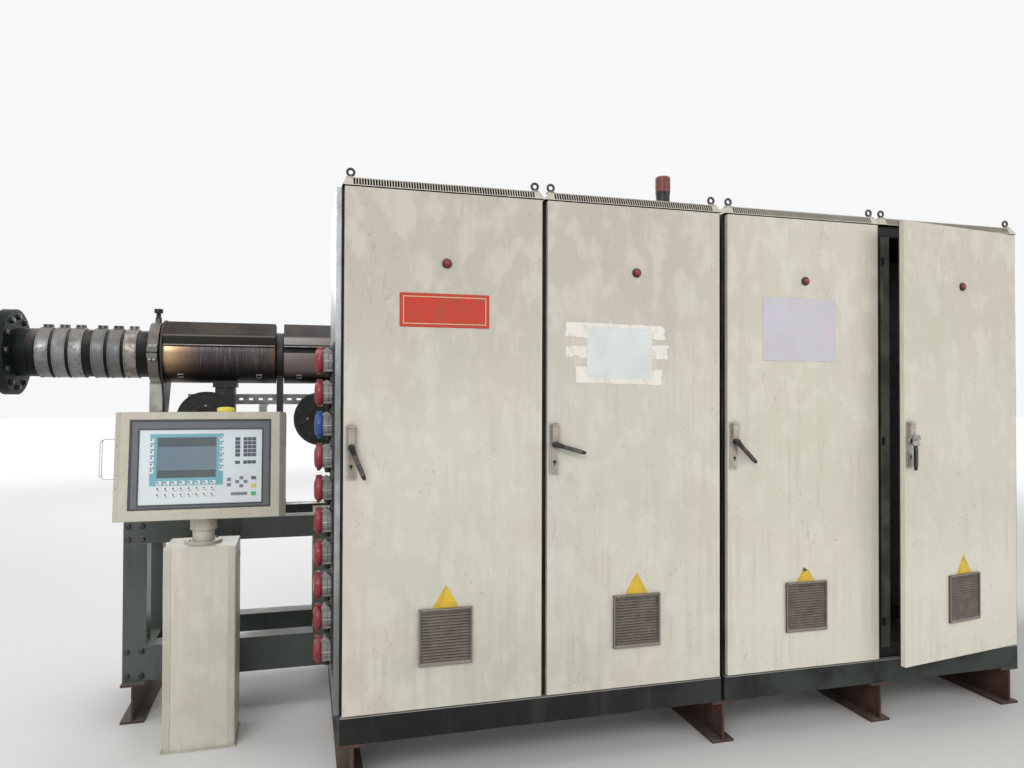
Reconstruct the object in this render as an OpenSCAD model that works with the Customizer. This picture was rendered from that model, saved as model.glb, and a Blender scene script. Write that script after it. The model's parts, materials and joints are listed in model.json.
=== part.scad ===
// Plastic extruder with its four-bay control cabinet row and operator console.
// X runs along the machine from outlet to drive motor, Y from the doors to the back, Z up from the floor.

/* [Layout] */
// Left end of the cabinet row, from the middle of the machine
row_left = -1360; // [-1500:10:-1200]
// Door fronts of the cabinet row, from the middle of the machine
row_front = -712; // [-800:2:-650]
// Height of the screw axis above the floor
axis_z = 1680; // [1600:5:1800]
// Screw axis behind the door fronts
axis_back = 1150; // [1100:10:1300]
// Outlet face left of the cabinet row
outlet_reach = 1480; // [1400:10:1700]

/* [Cross beams] */
// Height of the steel beams under everything
beam_h = 175; // [140:5:220]
// Width of a beam flange
beam_w = 100; // [80:5:140]
// Thickness of a beam flange
beam_flange = 11; // [8:1:16]
// Thickness of a beam web
beam_web = 8; // [6:1:14]
// Length of a beam from front to back
beam_l = 1600; // [1550:10:1900]
// Beam front edge behind the door fronts
beam_front = 6; // [0:1:20]

/* [Cabinets] */
// Width of one cabinet bay
bay_w = 800; // [700:10:900]
// Height of a cabinet above its plinth
bay_h = 2000; // [1900:10:2100]
// Depth of a cabinet from door front to back
bay_d = 600; // [560:10:640]
// Gap between the two pairs of cabinets
pair_gap = 16; // [4:1:30]
// Height of the plinth
plinth_h = 100; // [60:5:150]
// Plinth set back from the door fronts
plinth_back = 8; // [0:1:20]
// Width of a cabinet post
post_w = 30; // [24:1:40]
// Depth of a cabinet post
post_d = 40; // [30:1:50]
// Height of the bottom and top frames
rail_h = 50; // [40:2:70]
// Space between two bayed frames
bay_joint = 2; // [1:0.5:4]
// Thickness of a rear panel
rear_t = 15; // [8:1:20]
// Thickness of an end panel
side_t = 20; // [10:1:25]
// Width of a mounting plate
plate_w = 690; // [600:10:700]
// Thickness of a mounting plate
plate_t = 3; // [2:0.5:5]
// Mounting plate in front of the rear panel
plate_forward = 112; // [80:2:150]

/* [Roof] */
// Height of a roof vent cap
cap_h = 34; // [24:1:50]
// Slope of the vent cap's sides, measured inwards
cap_slope = 18; // [8:1:30]
// Sheet of the vent cap
cap_sheet = 2; // [1.5:0.5:3]
// Distance between vent slots
slot_pitch = 10.4; // [8:0.2:20]
// Width of a vent slot
slot_w = 4.6; // [3:0.2:7]
// Vent slots in a row
slot_count = 69; // [10:1:69]
// Wire of a lifting eye
eye_wire = 5; // [3:0.5:8]
// Middle radius of a lifting eye
eye_r = 13; // [10:1:18]
// Lifting eye in from the corner of its roof
eye_in = 34; // [28:1:60]

/* [Doors] */
// Gap between neighbouring doors
door_gap = 22; // [20:1:28]
// Depth of a door tray
door_t = 25; // [22:1:30]
// Door sheet
door_sheet = 2; // [1.5:0.25:3]
// Return lip at the back of a door
door_lip = 15; // [10:1:20]
// Door bottom above the plinth
sill_gap = 10; // [6:1:20]
// Door top below the roof
head_gap = 5; // [4:1:12]
// Space between a door's back and the frame
seal_gap = 8; // [7:1:12]
// Rounding of a door's upright edges
door_edge = 3; // [1:0.5:5]
// Opening of the fourth door at rest
ajar = 9; // [0:1:12]
// Stiffener channel width
rib_w = 30; // [20:1:40]
// Stiffener channel depth
rib_d = 16; // [10:1:20]

/* [Hinges] */
// Hinge axis in from the door's right edge
hinge_in = 8; // [7:0.5:9]
// Hinge axis behind the door front
hinge_back = 10; // [9:0.5:12]
// Radius of a hinge pin
pin_r = 3; // [2.5:0.25:3.25]
// Radius of a hinge knuckle
knuckle_r = 5.5; // [5:0.25:6]
// Height of the fixed knuckle
knuckle_h = 40; // [30:1:60]
// Height of a hinge base block
hinge_h = 68; // [60:1:90]
// Thickness of a door's hinge tab
tab_t = 5; // [3:0.5:8]
// Hinge height on the door, as parts of its height
hinge_levels = [0.08, 0.5, 0.92];

/* [Door fittings] */
// Latch height above the door bottom
latch_z = 985; // [900:5:1100]
// Latch plate in from the door's left edge
latch_in = 9.5; // [8:0.5:14]
// Width of a latch plate
latch_w = 37; // [30:1:42]
// Height of a latch plate
latch_h = 205; // [180:5:240]
// Thickness of a latch plate
latch_t = 6; // [4:0.5:10]
// Lever length from its pivot
lever_l = 132; // [110:2:150]
// Lever width
lever_w = 20; // [16:1:26]
// Lever thickness
lever_t = 13; // [10:1:18]
// Lever arm in front of the latch plate
lever_out = 20; // [14:1:30]
// Radius of the lever shaft
shaft_r = 6; // [5:0.5:8]
// Lever angles at rest, from hanging straight down
lever_rest = [22, 74, 45, 0];
// Lamp below the door top
lamp_drop = 275; // [200:5:350]
// Radius of a lamp's dome
lamp_r = 13; // [10:1:18]
// Radius of a lamp's collar
collar_r = 16; // [13:1:20]
// Grille centre above the door bottom
grille_z = 270; // [230:5:320]
// Width of a filter grille
grille_w = 207; // [180:1:240]
// Height of a filter grille
grille_h = 216; // [190:1:240]
// How far a grille stands out of its door
grille_out = 10; // [6:1:14]
// Distance between grille louvres
louvre_pitch = 11.4; // [9:0.2:16]
// Louvres in a grille
louvre_count = 17; // [6:1:17]

/* [Power sockets] */
// Number of sockets on the left end panel
socket_count = 10; // [4:1:12]
// Distance between sockets
socket_pitch = 127; // [120:1:140]
// Height of the top socket
socket_top = 1618; // [1500:2:1700]
// Socket row behind the door fronts
socket_back = 215; // [150:5:300]
// Width of a socket body
socket_w = 92; // [70:2:110]
// How far a socket body stands out
socket_out = 68; // [50:2:90]
// Thickness of a socket lid
lid_t = 24; // [14:1:30]

/* [Beacon] */
// Beacon right of the row's left end
beacon_x = 1470; // [1300:10:1550]
// Beacon behind the door fronts
beacon_back = 300; // [200:10:400]
// Radius of the beacon base
beacon_r = 32; // [25:1:40]
// Height of the beacon base
beacon_base_h = 120; // [80:5:160]
// Height of the beacon lens
lens_h = 72; // [50:2:90]

/* [Barrel] */
// Diameter of the barrel
barrel_d = 226; // [210:2:228]
// Diameter of the melt bore
bore_d = 120; // [80:2:130]
// Depth of the barrel's open end around the screw tip
bore_depth = 60; // [40:5:100]
// Diameter of the outlet flange
flange_d = 400; // [360:5:450]
// Thickness of the outlet flange
flange_t = 50; // [40:2:80]
// Diameter of the outlet's own bore
outlet_d = 100; // [60:2:110]
// Length of the neck behind the flange
neck_l = 60; // [40:2:90]
// Diameter of the neck
neck_d = 226; // [180:2:230]
// Bolt circle of the flange
flange_pcd = 330; // [280:5:350]
// Bolt holes in the flange
flange_bolts = 12; // [8:1:16]
// Diameter of a flange bolt hole
flange_hole_d = 22; // [16:1:26]

/* [Heater bands] */
// Diameter of a heater band
band_d = 238; // [234:1:262]
// Width of a heater band
band_w = 55; // [50:1:60]
// Gap between heater bands
band_gap = 14.5; // [6:0.5:16]
// Wider gap between the two groups of three
group_gap = 39; // [20:1:50]
// First band behind the neck
band_lead = 41; // [6:1:50]
// Opening of a band at its clamp
band_slit = 14; // [8:1:20]
// Height of a band's clamp lugs
lug_h = 20; // [14:1:36]
// Radius of a band's clamp screw
screw_r = 4; // [3:0.5:5]

/* [Barrel clamp] */
// Clamp from the outlet face
clamp_at = 634; // [620:2:638]
// Width of the clamp ring
clamp_w = 46; // [40:2:50]
// Diameter of the clamp ring
clamp_d = 310; // [290:2:316]
// Split between the two clamp halves
clamp_split = 6; // [3:1:10]
// Width of the clamp's column
column_w = 58; // [46:2:60]
// Depth of the clamp's column
column_d = 110; // [80:5:150]
// Length of the stem under the clamp's knob
stem_l = 29; // [16:1:40]
// Radius of the clamp's knob
knob_r = 18.5; // [14:0.5:24]
// Height of the clamp's knob
knob_h = 20; // [14:1:28]
// Thickness of the foot plates on the base rails
foot_t = 16; // [10:1:24]
// Foot plates wider than what they carry, on each side
foot_out = 14; // [8:1:20]
// Thickness of the plate beside the first zone
shield_t = 8; // [5:1:8]
// Diameter of that plate
shield_d = 336; // [320:2:350]
// Width of that plate's foot
shield_foot = 80; // [60:5:110]
// Where that plate has narrowed to its foot, below the screw axis
shield_taper = 290; // [250:5:330]
// Thickness of a saddle between two zones
saddle_w = 30; // [20:1:36]
// Rim of a saddle around the barrel
saddle_rim = 5; // [4:1:16]

/* [Temperature zones] */
// Number of zones
zone_count = 5; // [2:1:5]
// First zone from the outlet face
zone_at = 698; // [698:1:705]
// Length of a zone
zone_l = 512; // [480:2:516]
// Distance between zones
zone_pitch = 552; // [552:2:566]
// Diameter of a zone's casing
zone_d = 280; // [270:2:284]
// Diameter of the heater core inside
core_d = 262; // [250:2:266]
// Height of the lid's lower edge above the axis
lid_low = 40; // [30:1:50]
// Half width of the lid at its lower edge
lid_half = 146; // [144:1:150]
// Height of the lid's knee above the axis
knee_z = 86; // [76:1:96]
// Half width of the lid at its knee
knee_half = 141; // [139:1:143]
// Height of the lid's top above the axis
lid_top = 157; // [150:1:170]
// Half width of the lid's flat top
top_half = 80; // [60:1:96]
// Lid sheet
lid_sheet = 2.5; // [1.5:0.5:4]
// Open slot under the second lid
open_slot = 30; // [0:2:60]

/* [Zone blowers] */
// Radius of a blower scroll
scroll_r = 134; // [120:1:140]
// Thickness of a blower scroll
scroll_t = 92; // [70:2:110]
// Scroll axis below the screw axis
scroll_drop = 320; // [310:5:360]
// Scroll left of the middle of its zone
scroll_left = 72; // [60:2:90]
// Width of a blower's duct
duct_w = 92; // [70:2:110]
// Radius of a blower motor
fan_motor_r = 62; // [50:2:75]
// Length of a blower motor
fan_motor_l = 130; // [100:5:160]
// Radius of a blower's inlet
inlet_r = 62; // [50:2:80]

/* [Base frame] */
// Left end of the base frame from the outlet face
base_at = 560; // [500:10:590]
// Right end of the base frame from the outlet face
base_end = 5680; // [5600:10:5800]
// Width across the base rails
base_w = 500; // [460:10:600]
// Width of a base rail
rail_w = 100; // [80:5:120]
// Height of a lower base rail
low_rail_h = 160; // [120:10:200]
// Top of the base frame
base_top = 900; // [860:10:940]
// Height of an upper base rail
top_rail_h = 100; // [80:5:120]
// Number of leg pairs
leg_count = 7; // [4:1:9]
// Height of a cross tie
tie_h = 80; // [60:5:100]

/* [Cable tray] */
// Height of the tray
tray_z = 1430; // [1380:5:1480]
// Tray behind the screw axis
tray_back = 262; // [250:2:300]
// Width of the tray
tray_w = 80; // [50:5:120]
// Height of the tray's sides
tray_h = 55; // [40:5:70]
// Tray sheet
tray_sheet = 2; // [1.5:0.5:3]
// Distance between tray slots
tray_pitch = 50; // [40:5:80]

/* [Feed section] */
// Length of the feed throat
throat_l = 280; // [240:10:320]
// Width and height of the feed throat
throat_w = 300; // [270:5:330]
// Thickness of the throat's end flanges
throat_flange = 30; // [20:2:34]
// How far the throat's end flanges stand out
throat_rim = 30; // [10:2:38]
// Height of the throat's seat for the hopper
throat_seat = 40; // [30:2:60]
// Diameter of the feed opening
feed_d = 130; // [100:5:160]
// Bottom flange of the hopper
hopper_flange = 260; // [220:5:280]
// Thickness of the hopper's flange
hopper_flange_t = 14; // [10:1:20]
// Height of the hopper
hopper_h = 560; // [450:10:600]
// Outer width of the hopper's top
hopper_w = 620; // [520:10:700]
// Straight rim at the hopper's top
hopper_rim = 120; // [80:10:160]
// Hopper sheet
hopper_sheet = 3; // [2:0.5:5]

/* [Gearbox] */
// Length of the gearbox
gear_l = 900; // [800:10:950]
// Width of the gearbox
gear_w = 620; // [540:10:700]
// Gearbox top above the screw axis
gear_up = 300; // [260:10:350]
// Thickness of the gearbox's joint flange
gear_flange = 36; // [24:2:50]
// How far the joint flange stands out
gear_rim = 26; // [14:2:40]
// Outer ribs in from the gearbox's ends
rib_in = 120; // [80:5:200]
// Thickness of a gearbox rib
rib_t = 24; // [16:2:36]
// Diameter of the input cover
cover_d = 300; // [240:10:340]
// How far the input cover stands out
gear_cover = 30; // [20:2:40]

/* [Drive motor] */
// Height of the motor shaft
motor_z = 1250; // [1230:5:1290]
// Radius of the motor frame
motor_r = 262; // [230:2:280]
// Height of a cooling fin
fin_h = 30; // [16:1:34]
// Thickness of a cooling fin
fin_t = 7; // [5:0.5:10]
// Number of cooling fins
fin_count = 36; // [18:2:48]
// Length of the finned frame
motor_l = 560; // [480:10:640]
// Length of the fan cowl
cowl_l = 150; // [100:10:180]
// Diameter of the shaft under the guard
shaft_d = 90; // [60:5:110]
// Gap between gearbox and motor, under the guard
coupling_l = 200; // [160:10:240]
// First motor foot from the motor's front
foot_in = 60; // [40:5:90]
// Length of a motor foot
foot_l = 100; // [70:5:130]
// Terminal box from the motor's front
box_in = 120; // [60:5:160]
// Length of the terminal box
box_l = 300; // [220:10:340]
// Width of the terminal box
box_w = 260; // [200:10:300]
// Height of the terminal box above the fins
box_h = 110; // [80:5:140]
// Radius of the coupling guard
guard_r = 165; // [140:5:190]
// Sheet of the coupling guard
guard_t = 3; // [2:0.5:5]

/* [Operator console] */
// Console pivot right of the row's left end
console_x = -547; // [-580:1:-500]
// Console pivot behind the door fronts
console_back = 627; // [610:1:640]
// Middle of the console's panel above the floor, before it leans
console_z = 1170; // [1150:2:1200]
// Backward lean of the console
lean = 6.3; // [0:0.1:10]
// Width of the console box
console_w = 676; // [650:2:700]
// Height of the console box
console_h = 450; // [430:2:470]
// Depth of the console box
console_d = 200; // [160:5:210]
// Middle of the box above the middle of its panel
box_rise = 5; // [0:1:10]
// Bevel of the box's front edges
bevel = 22; // [16:1:26]
// Width of the recess around the panel
recess_w = 558; // [540:2:580]
// Height of the recess
recess_h = 374; // [360:2:390]
// Middle of the recess above the middle of the panel
recess_rise = 11; // [4:1:16]
// Depth of the recess
recess = 22; // [16:1:30]
// Width of the operator panel
panel_w = 483; // [476:1:500]
// Height of the operator panel
panel_h = 310; // [300:1:316]
// Width of the screen
screen_w = 233; // [210:1:240]
// Height of the screen
screen_h = 171; // [160:1:180]
// Screen from the panel's left edge
screen_left = 67.5; // [60:0.5:74]
// Screen from the panel's top edge
screen_top = 31; // [28:1:36]
// Raised height of a key
key_t = 2; // [1:0.5:3]
// Width of the pedestal
pedestal_w = 284; // [240:2:320]
// Depth of the pedestal
pedestal_d = 230; // [200:5:240]
// Height of the pedestal
pedestal_h = 846; // [820:2:860]
// Radius of the console's neck
neck_r = 45; // [35:1:60]
// Height of the collar under the console box
collar_h = 46; // [40:1:50]
// Radius of the swivel pin
swivel_r = 20; // [14:1:26]
// Length of the swivel pin in the collar
swivel_l = 34; // [24:1:36]
// Grip length of the side handle
grip_l = 165; // [120:5:200]
// Top of the side handle below the top of the box
grip_drop = 105; // [80:5:140]
// How far the side handle stands out
grip_out = 55; // [40:1:60]
// Radius of the handle rod
grip_r = 6; // [4:0.5:8]
// Radius of the round cap
cap_r = 37; // [30:1:45]
// Round cap right of the middle of the panel
cap_right = 84; // [40:1:120]
// Height of the round cap
round_cap_h = 29; // [20:1:36]

/* [Clearances] */
// Clearance of a shaft in its hole
run_gap = 0.1; // [0.05:0.05:0.3]
// Clearance of one round piece seated on another
seat_gap = 0.3; // [0.2:0.1:0.5]

/* [Hidden] */
$fn = 64;

cream = [0.83, 0.80, 0.70];
dark = [0.13, 0.14, 0.14];
steel = [0.62, 0.62, 0.60];
primer = [0.30, 0.17, 0.14];
browned = [0.26, 0.21, 0.18];

cab_z = beam_h + plinth_h;
roof_z = cab_z + bay_h;
frame_y = row_front + door_t + seal_gap;
frame_back = row_front + bay_d - rear_t;
door_w = bay_w - door_gap;
door_h = bay_h - sill_gap - head_gap;
door_z = cab_z + sill_gap;
rows_end = row_left + 4 * bay_w + pair_gap;
axis_y = row_front + axis_back;
outlet_x = row_left - outlet_reach;
barrel_x = outlet_x + flange_t + neck_l;
throat_x = outlet_x + zone_at + (zone_count - 1) * zone_pitch + zone_l + 24;
gear_x = throat_x + throat_l;
coupling_x = gear_x + gear_l;
motor_x = coupling_x + coupling_l;
base_x = outlet_x + base_at;
base_l = base_end - base_at;
post_places = [bay_joint / 2, bay_w - bay_joint / 2 - post_w];
neck_top = console_z - (console_h / 2 - box_rise) / cos(lean) - collar_h;

// Left end of bay n, counted from 1
function bay_x(n) = row_left + (n - 1) * bay_w + (n > 2 ? pair_gap : 0);
// Hinge axis of door n, counted from 1
function hinge_x(n) = bay_x(n) + bay_w - door_gap / 2 - hinge_in;
// Left end of zone n, counted from 0
function zone_x(n) = outlet_x + zone_at + n * zone_pitch;
// Left end of heater band n, counted from 0
function band_x(n) = barrel_x + band_lead + n * (band_w + band_gap) + (n > 2 ? group_gap - band_gap : 0);
// Middle of leg pair n, counted from 0
function leg_x(n) = base_x + rail_w / 2 + n * (base_l - rail_w) / (leg_count - 1);

// A block between two opposite corners
module block(low, high) {
    translate(low) cube(high - low);
}

// A flat rectangle with round corners, its middle at the origin
module round_rect(w, h, r) {
    square([w - 2 * r, h], center = true);
    square([w, h - 2 * r], center = true);
    for (x = [-1, 1], y = [-1, 1]) translate([x * (w / 2 - r), y * (h / 2 - r)]) circle(r);
}

// A cylinder lying along X from x = 0
module along_x(d, l) {
    rotate([0, 90, 0]) cylinder(d = d, h = l);
}

// A cylinder lying along Y from y = 0
module along_y(r, l) {
    rotate([-90, 0, 0]) cylinder(r = r, h = l);
}

// A flat outline in X and Z, carried along Y from y = 0
module carried_y(l) {
    translate([0, l, 0]) rotate([90, 0, 0]) linear_extrude(l) children();
}

// A flat outline in Y and Z, carried along X from x = 0
module carried_x(l) {
    rotate([90, 0, 90]) linear_extrude(l) children();
}

// Everything along the screw axis is drawn about this place
module on_axis(x) {
    translate([x, axis_y, axis_z]) children();
}

// The place and the resting angle of door n, with its hinge axis at the origin
module at_door(n) {
    translate([hinge_x(n), row_front + hinge_back, door_z]) rotate([0, 0, n == 4 ? ajar : 0]) children();
}

// Steel beams from front to back under the row and the machine
module i_section() {
    square([beam_w, beam_flange]);
    translate([0, beam_h - beam_flange]) square([beam_w, beam_flange]);
    translate([(beam_w - beam_web) / 2, 0]) square([beam_web, beam_h]);
}

module cross_beams() {
    short_front = axis_back - base_w / 2 - 40;
    inner = [bay_x(3) - (pair_gap + beam_w) / 2, bay_x(4) - beam_w / 2];
    color(primer) {
        for (x = concat(row_left + 2, inner, rows_end - beam_w - 2))
            translate([x, row_front + beam_front, 0]) carried_y(beam_l - beam_front) i_section();
        for (x = [base_x, base_x + base_l - beam_w])
            translate([x, row_front + short_front, 0]) carried_y(beam_l - short_front) i_section();
    }
}

module plinth_frames() {
    color(dark)
        for (n = [1, 3])
            block([bay_x(n) + bay_joint / 2, row_front + plinth_back, beam_h],
                [bay_x(n) + 2 * bay_w - bay_joint / 2, row_front + bay_d - plinth_back, cab_z]);
}

module cabinet_floors() {
    color(dark)
        for (n = [1:4])
            block([bay_x(n) + bay_joint / 2, frame_y, cab_z],
                [bay_x(n) + bay_w - bay_joint / 2, frame_back, cab_z + rail_h]);
}

module cabinet_posts() {
    color(dark)
        for (n = [1:4], x = post_places, y = [frame_y, frame_back - post_d])
            translate([bay_x(n) + x, y, cab_z + rail_h]) cube([post_w, post_d, bay_h - 2 * rail_h]);
}

module cabinet_roofs() {
    color(dark)
        for (n = [1:4])
            block([bay_x(n) + bay_joint / 2, frame_y, roof_z - rail_h],
                [bay_x(n) + bay_w - bay_joint / 2, frame_back, roof_z]);
}

// A block whose four sides slope inwards
module sloped_block(w, d, h, slope) {
    intersection() {
        carried_y(d) polygon([[0, 0], [w, 0], [w - slope, h], [slope, h]]);
        carried_x(w) polygon([[0, 0], [d, 0], [d - slope, h], [slope, h]]);
    }
}

module vent_cap() {
    w = bay_w - bay_joint;
    d = bay_d;
    row_start = (w - (slot_count - 1) * slot_pitch) / 2;
    difference() {
        sloped_block(w, d, cap_h, cap_slope);
        translate([cap_sheet, cap_sheet, -cap_sheet])
            sloped_block(w - 2 * cap_sheet, d - 2 * cap_sheet, cap_h, cap_slope);
        for (k = [0:slot_count - 1])
            translate([row_start + k * slot_pitch - slot_w / 2, -1, 6]) cube([slot_w, d + 2, cap_h - 14]);
    }
}

module roof_vent_caps() {
    color(cream)
        for (n = [1:4]) translate([bay_x(n) + bay_joint / 2, row_front, roof_z]) vent_cap();
}

module lifting_eye() {
    cylinder(r = eye_r, h = eye_wire);
    translate([0, 0, 2 * eye_wire - 1 + eye_r])
        rotate([90, 0, 0]) rotate_extrude() translate([eye_r, 0]) circle(eye_wire);
}

module lifting_eyes() {
    color(steel)
        for (n = [1:4], x = [eye_in, bay_w - eye_in], y = [eye_in, bay_d - eye_in])
            translate([bay_x(n) + x, row_front + y, roof_z + cap_h]) lifting_eye();
}

module rear_panels() {
    color(cream)
        for (n = [1:4])
            block([bay_x(n) + bay_joint, frame_back, cab_z + sill_gap],
                [bay_x(n) + bay_w - bay_joint, frame_back + rear_t, roof_z - head_gap]);
}

module end_panels() {
    color(steel)
        for (x = [row_left + bay_joint / 2 - side_t, rows_end - bay_joint / 2])
            block([x, row_front + door_t, cab_z + sill_gap], [x + side_t, frame_back, roof_z - head_gap]);
}

module mounting_plates() {
    plate_y = frame_back - plate_forward;
    low = cab_z + rail_h + 60;
    high = roof_z - rail_h - 60;
    reach = (bay_w - plate_w) / 2 + 30;
    color(steel)
        for (n = [1:4])
            translate([bay_x(n), plate_y, 0]) {
                block([(bay_w - plate_w) / 2, 0, low], [(bay_w + plate_w) / 2, plate_t, high]);
                for (x = post_places, z = [low + 80, high - 120])
                    translate([x, plate_t, z]) {
                        translate([x < bay_w / 2 ? 0 : post_w - reach, 0, 0]) cube([reach, 6, 40]);
                        cube([post_w, frame_back - post_d - plate_y - plate_t, 40]);
                    }
            }
}

// The fixed half of a hinge, its axis at the origin and half way up
module hinge_block() {
    reach = frame_y - row_front - hinge_back;
    block([-14, reach - 7, -hinge_h / 2], [14, reach, hinge_h / 2]);
    block([-12, 0, -knuckle_h / 2], [0, reach - 5, knuckle_h / 2]);
    translate([0, 0, -knuckle_h / 2]) cylinder(r = knuckle_r, h = knuckle_h);
    translate([0, 0, -knuckle_h / 2 - tab_t - 6]) cylinder(r = pin_r, h = knuckle_h + 2 * tab_t + 12);
}

module door_hinges() {
    color(dark)
        for (n = [1:4], level = hinge_levels)
            translate([hinge_x(n), row_front + hinge_back, door_z + level * door_h]) hinge_block();
}

module beacon_base() {
    color(dark)
        translate([row_left + beacon_x, row_front + beacon_back, roof_z + cap_h]) {
            cylinder(r = beacon_r + 12, h = 6);
            cylinder(r = beacon_r, h = beacon_base_h);
        }
}

module beacon_lens() {
    r = beacon_r + 3;
    color([0.55, 0.10, 0.12])
        translate([row_left + beacon_x, row_front + beacon_back, roof_z + cap_h + beacon_base_h])
            rotate_extrude() {
                square([r, lens_h - 10]);
                square([r - 10, lens_h]);
                intersection() {
                    translate([r - 10, lens_h - 10]) circle(10);
                    square([r, lens_h]);
                }
            }
}

// Places of the sockets, at the end panel's outer face
module at_sockets() {
    for (k = [0:socket_count - 1])
        translate([row_left + bay_joint / 2 - side_t, row_front + socket_back, socket_top - k * socket_pitch])
            children();
}

module socket_bodies() {
    color(steel)
        at_sockets() {
            translate([0, -socket_w / 2, 0])
                carried_y(socket_w) polygon([[0, -50], [0, 22], [-socket_out, 48], [-socket_out, -50]]);
            translate([-socket_out / 2, 0, -62]) cylinder(r = 14, h = 20);
        }
}

module socket_lids() {
    color([0.72, 0.13, 0.14])
        at_sockets() {
            translate([-socket_out - lid_t, 0, 0]) along_x(socket_w + 4, lid_t);
            translate([-socket_out - lid_t, -12, 30]) cube([lid_t, 24, 28]);
        }
}

// One door with its origin on the hinge axis at the door's foot
module door_leaf(n) {
    left = hinge_in - door_w;
    mid = hinge_in - door_w / 2;
    front = -hinge_back;
    inner = front + door_sheet;
    back = front + door_t;
    latch_x = left + latch_in + latch_w / 2;
    color(cream)
        at_door(n) {
            difference() {
                translate([mid, front + door_t / 2, 0])
                    linear_extrude(door_h) round_rect(door_w, door_t, door_edge);
                block([left + door_sheet, inner, door_sheet],
                    [hinge_in - door_sheet, back - door_sheet, door_h - door_sheet]);
                block([left + door_lip, inner, door_lip], [hinge_in - door_lip, back + 1, door_h - door_lip]);
                for (level = hinge_levels)
                    block([-door_lip - 8, inner, level * door_h - hinge_h / 2 - 6],
                        [hinge_in + 1, back + 1, level * door_h + hinge_h / 2 + 6]);
                translate([mid, front - 1, grille_z]) cube([grille_w - 30, 9, grille_h - 30], center = true);
                translate([mid, front - 1, door_h - lamp_drop]) along_y(collar_r - 5, 9);
                translate([latch_x, front, latch_z]) cube([latch_w - 14, 9, latch_h - 50], center = true);
            }
            for (level = hinge_levels, side = [-1, 1])
                translate([0, 0, level * door_h + side * (knuckle_h / 2 + 1 + tab_t / 2)])
                    difference() {
                        block([-12, inner - 0.5, -tab_t / 2], [5.5, 4.5, tab_t / 2]);
                        translate([0, 0, -tab_t]) cylinder(r = pin_r + run_gap, h = 2 * tab_t);
                    }
            for (x = [left + 62, -40 - rib_w])
                translate([x, inner - 0.5, 70]) cube([rib_w, rib_d, door_h - 140]);
            for (z = [70, door_h - 70 - rib_w])
                translate([left + 62, inner - 0.5, z]) cube([-40 - left - 62, rib_d, rib_w]);
        }
}

module door_lamp(n) {
    mid = hinge_in - door_w / 2;
    color([0.75, 0.08, 0.10])
        at_door(n)
            translate([mid, -hinge_back, door_h - lamp_drop]) {
                translate([0, -4, 0]) along_y(collar_r, 4);
                translate([0, -1, 0]) along_y(collar_r - 5 - run_gap, 42);
                translate([0, -4, 0]) rotate([90, 0, 0])
                    rotate_extrude() {
                        square([lamp_r, 4]);
                        intersection() {
                            translate([0, 4 - lamp_r * 0.35]) circle(lamp_r * 1.06);
                            square([lamp_r, 20]);
                        }
                    }
            }
}

module door_grille(n) {
    mid = hinge_in - door_w / 2;
    rim = 9;
    foot = 16;
    inside_w = grille_w - 2 * rim;
    first = -grille_h / 2 + foot + louvre_pitch / 2;
    color([0.42, 0.36, 0.33])
        at_door(n)
            translate([mid, -hinge_back, grille_z]) {
                difference() {
                    translate([-grille_w / 2, -grille_out, -grille_h / 2])
                        cube([grille_w, grille_out, grille_h]);
                    translate([-inside_w / 2, -grille_out - 1, -grille_h / 2 + foot])
                        cube([inside_w, grille_out - 1, grille_h - foot - rim]);
                }
                for (k = [0:louvre_count - 1])
                    translate([-inside_w / 2 - 1, -grille_out, first + k * louvre_pitch])
                        carried_x(inside_w + 2)
                            polygon([[0.6, -4], [2.4, -4], [grille_out - 1.5, 3.2], [grille_out - 3.5, 4]]);
                translate([0, 8, 0]) cube([grille_w - 31, 18, grille_h - 31], center = true);
            }
}

module latch_plate(n) {
    left = hinge_in - door_w;
    front = -hinge_back;
    latch_x = left + latch_in + latch_w / 2;
    pivot_z = 18;
    rod_y = door_sheet + 10;
    color(steel)
        at_door(n)
            translate([latch_x, front, latch_z])
                difference() {
                    union() {
                        translate([0, -latch_t, 0]) carried_y(latch_t) round_rect(latch_w, latch_h, 4);
                        translate([0, -latch_t - 3, pivot_z]) along_y(15, 4);
                        translate([0, 9, 0]) cube([latch_w - 14.6, 18, latch_h - 50.6], center = true);
                        for (side = [-1, 1])
                            translate([-8, rod_y - 2, side > 0 ? 70 : 80 - latch_z])
                                cube([16, 4, side > 0 ? door_h - latch_z - 150 : latch_z - 150]);
                    }
                    translate([0, -latch_t - 4, pivot_z]) along_y(shaft_r + run_gap, latch_t + 14);
                    translate([0, -latch_t - 1, pivot_z - 92]) along_y(6, 5);
                }
}

module lever(n) {
    left = hinge_in - door_w;
    latch_x = left + latch_in + latch_w / 2;
    arm_y = -latch_t - lever_out - lever_t;
    color(dark)
        at_door(n)
            translate([latch_x, -hinge_back, latch_z + 18])
                rotate([0, -lever_rest[n - 1], 0]) {
                    translate([0, -latch_t - 8, 0]) along_y(shaft_r, latch_t + 16);
                    translate([0, arm_y, 0]) along_y(lever_w / 2 + 2, lever_out + lever_t - 5);
                    translate([0, arm_y, 0])
                        carried_y(lever_t) {
                            polygon([[-lever_w / 2, 0], [lever_w / 2, 0], [lever_w / 2 - 3, -lever_l + 6],
                                [-lever_w / 2 + 3, -lever_l + 6]]);
                            translate([0, -lever_l + 8]) circle(lever_w / 2 - 3);
                        }
                }
}

module base_rails() {
    color(dark)
        for (y = [-base_w / 2, base_w / 2 - rail_w]) {
            translate([base_x, axis_y + y, beam_h]) cube([base_l, rail_w, low_rail_h]);
            translate([base_x, axis_y + y, base_top - top_rail_h]) cube([base_l, rail_w, top_rail_h]);
        }
}

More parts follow.
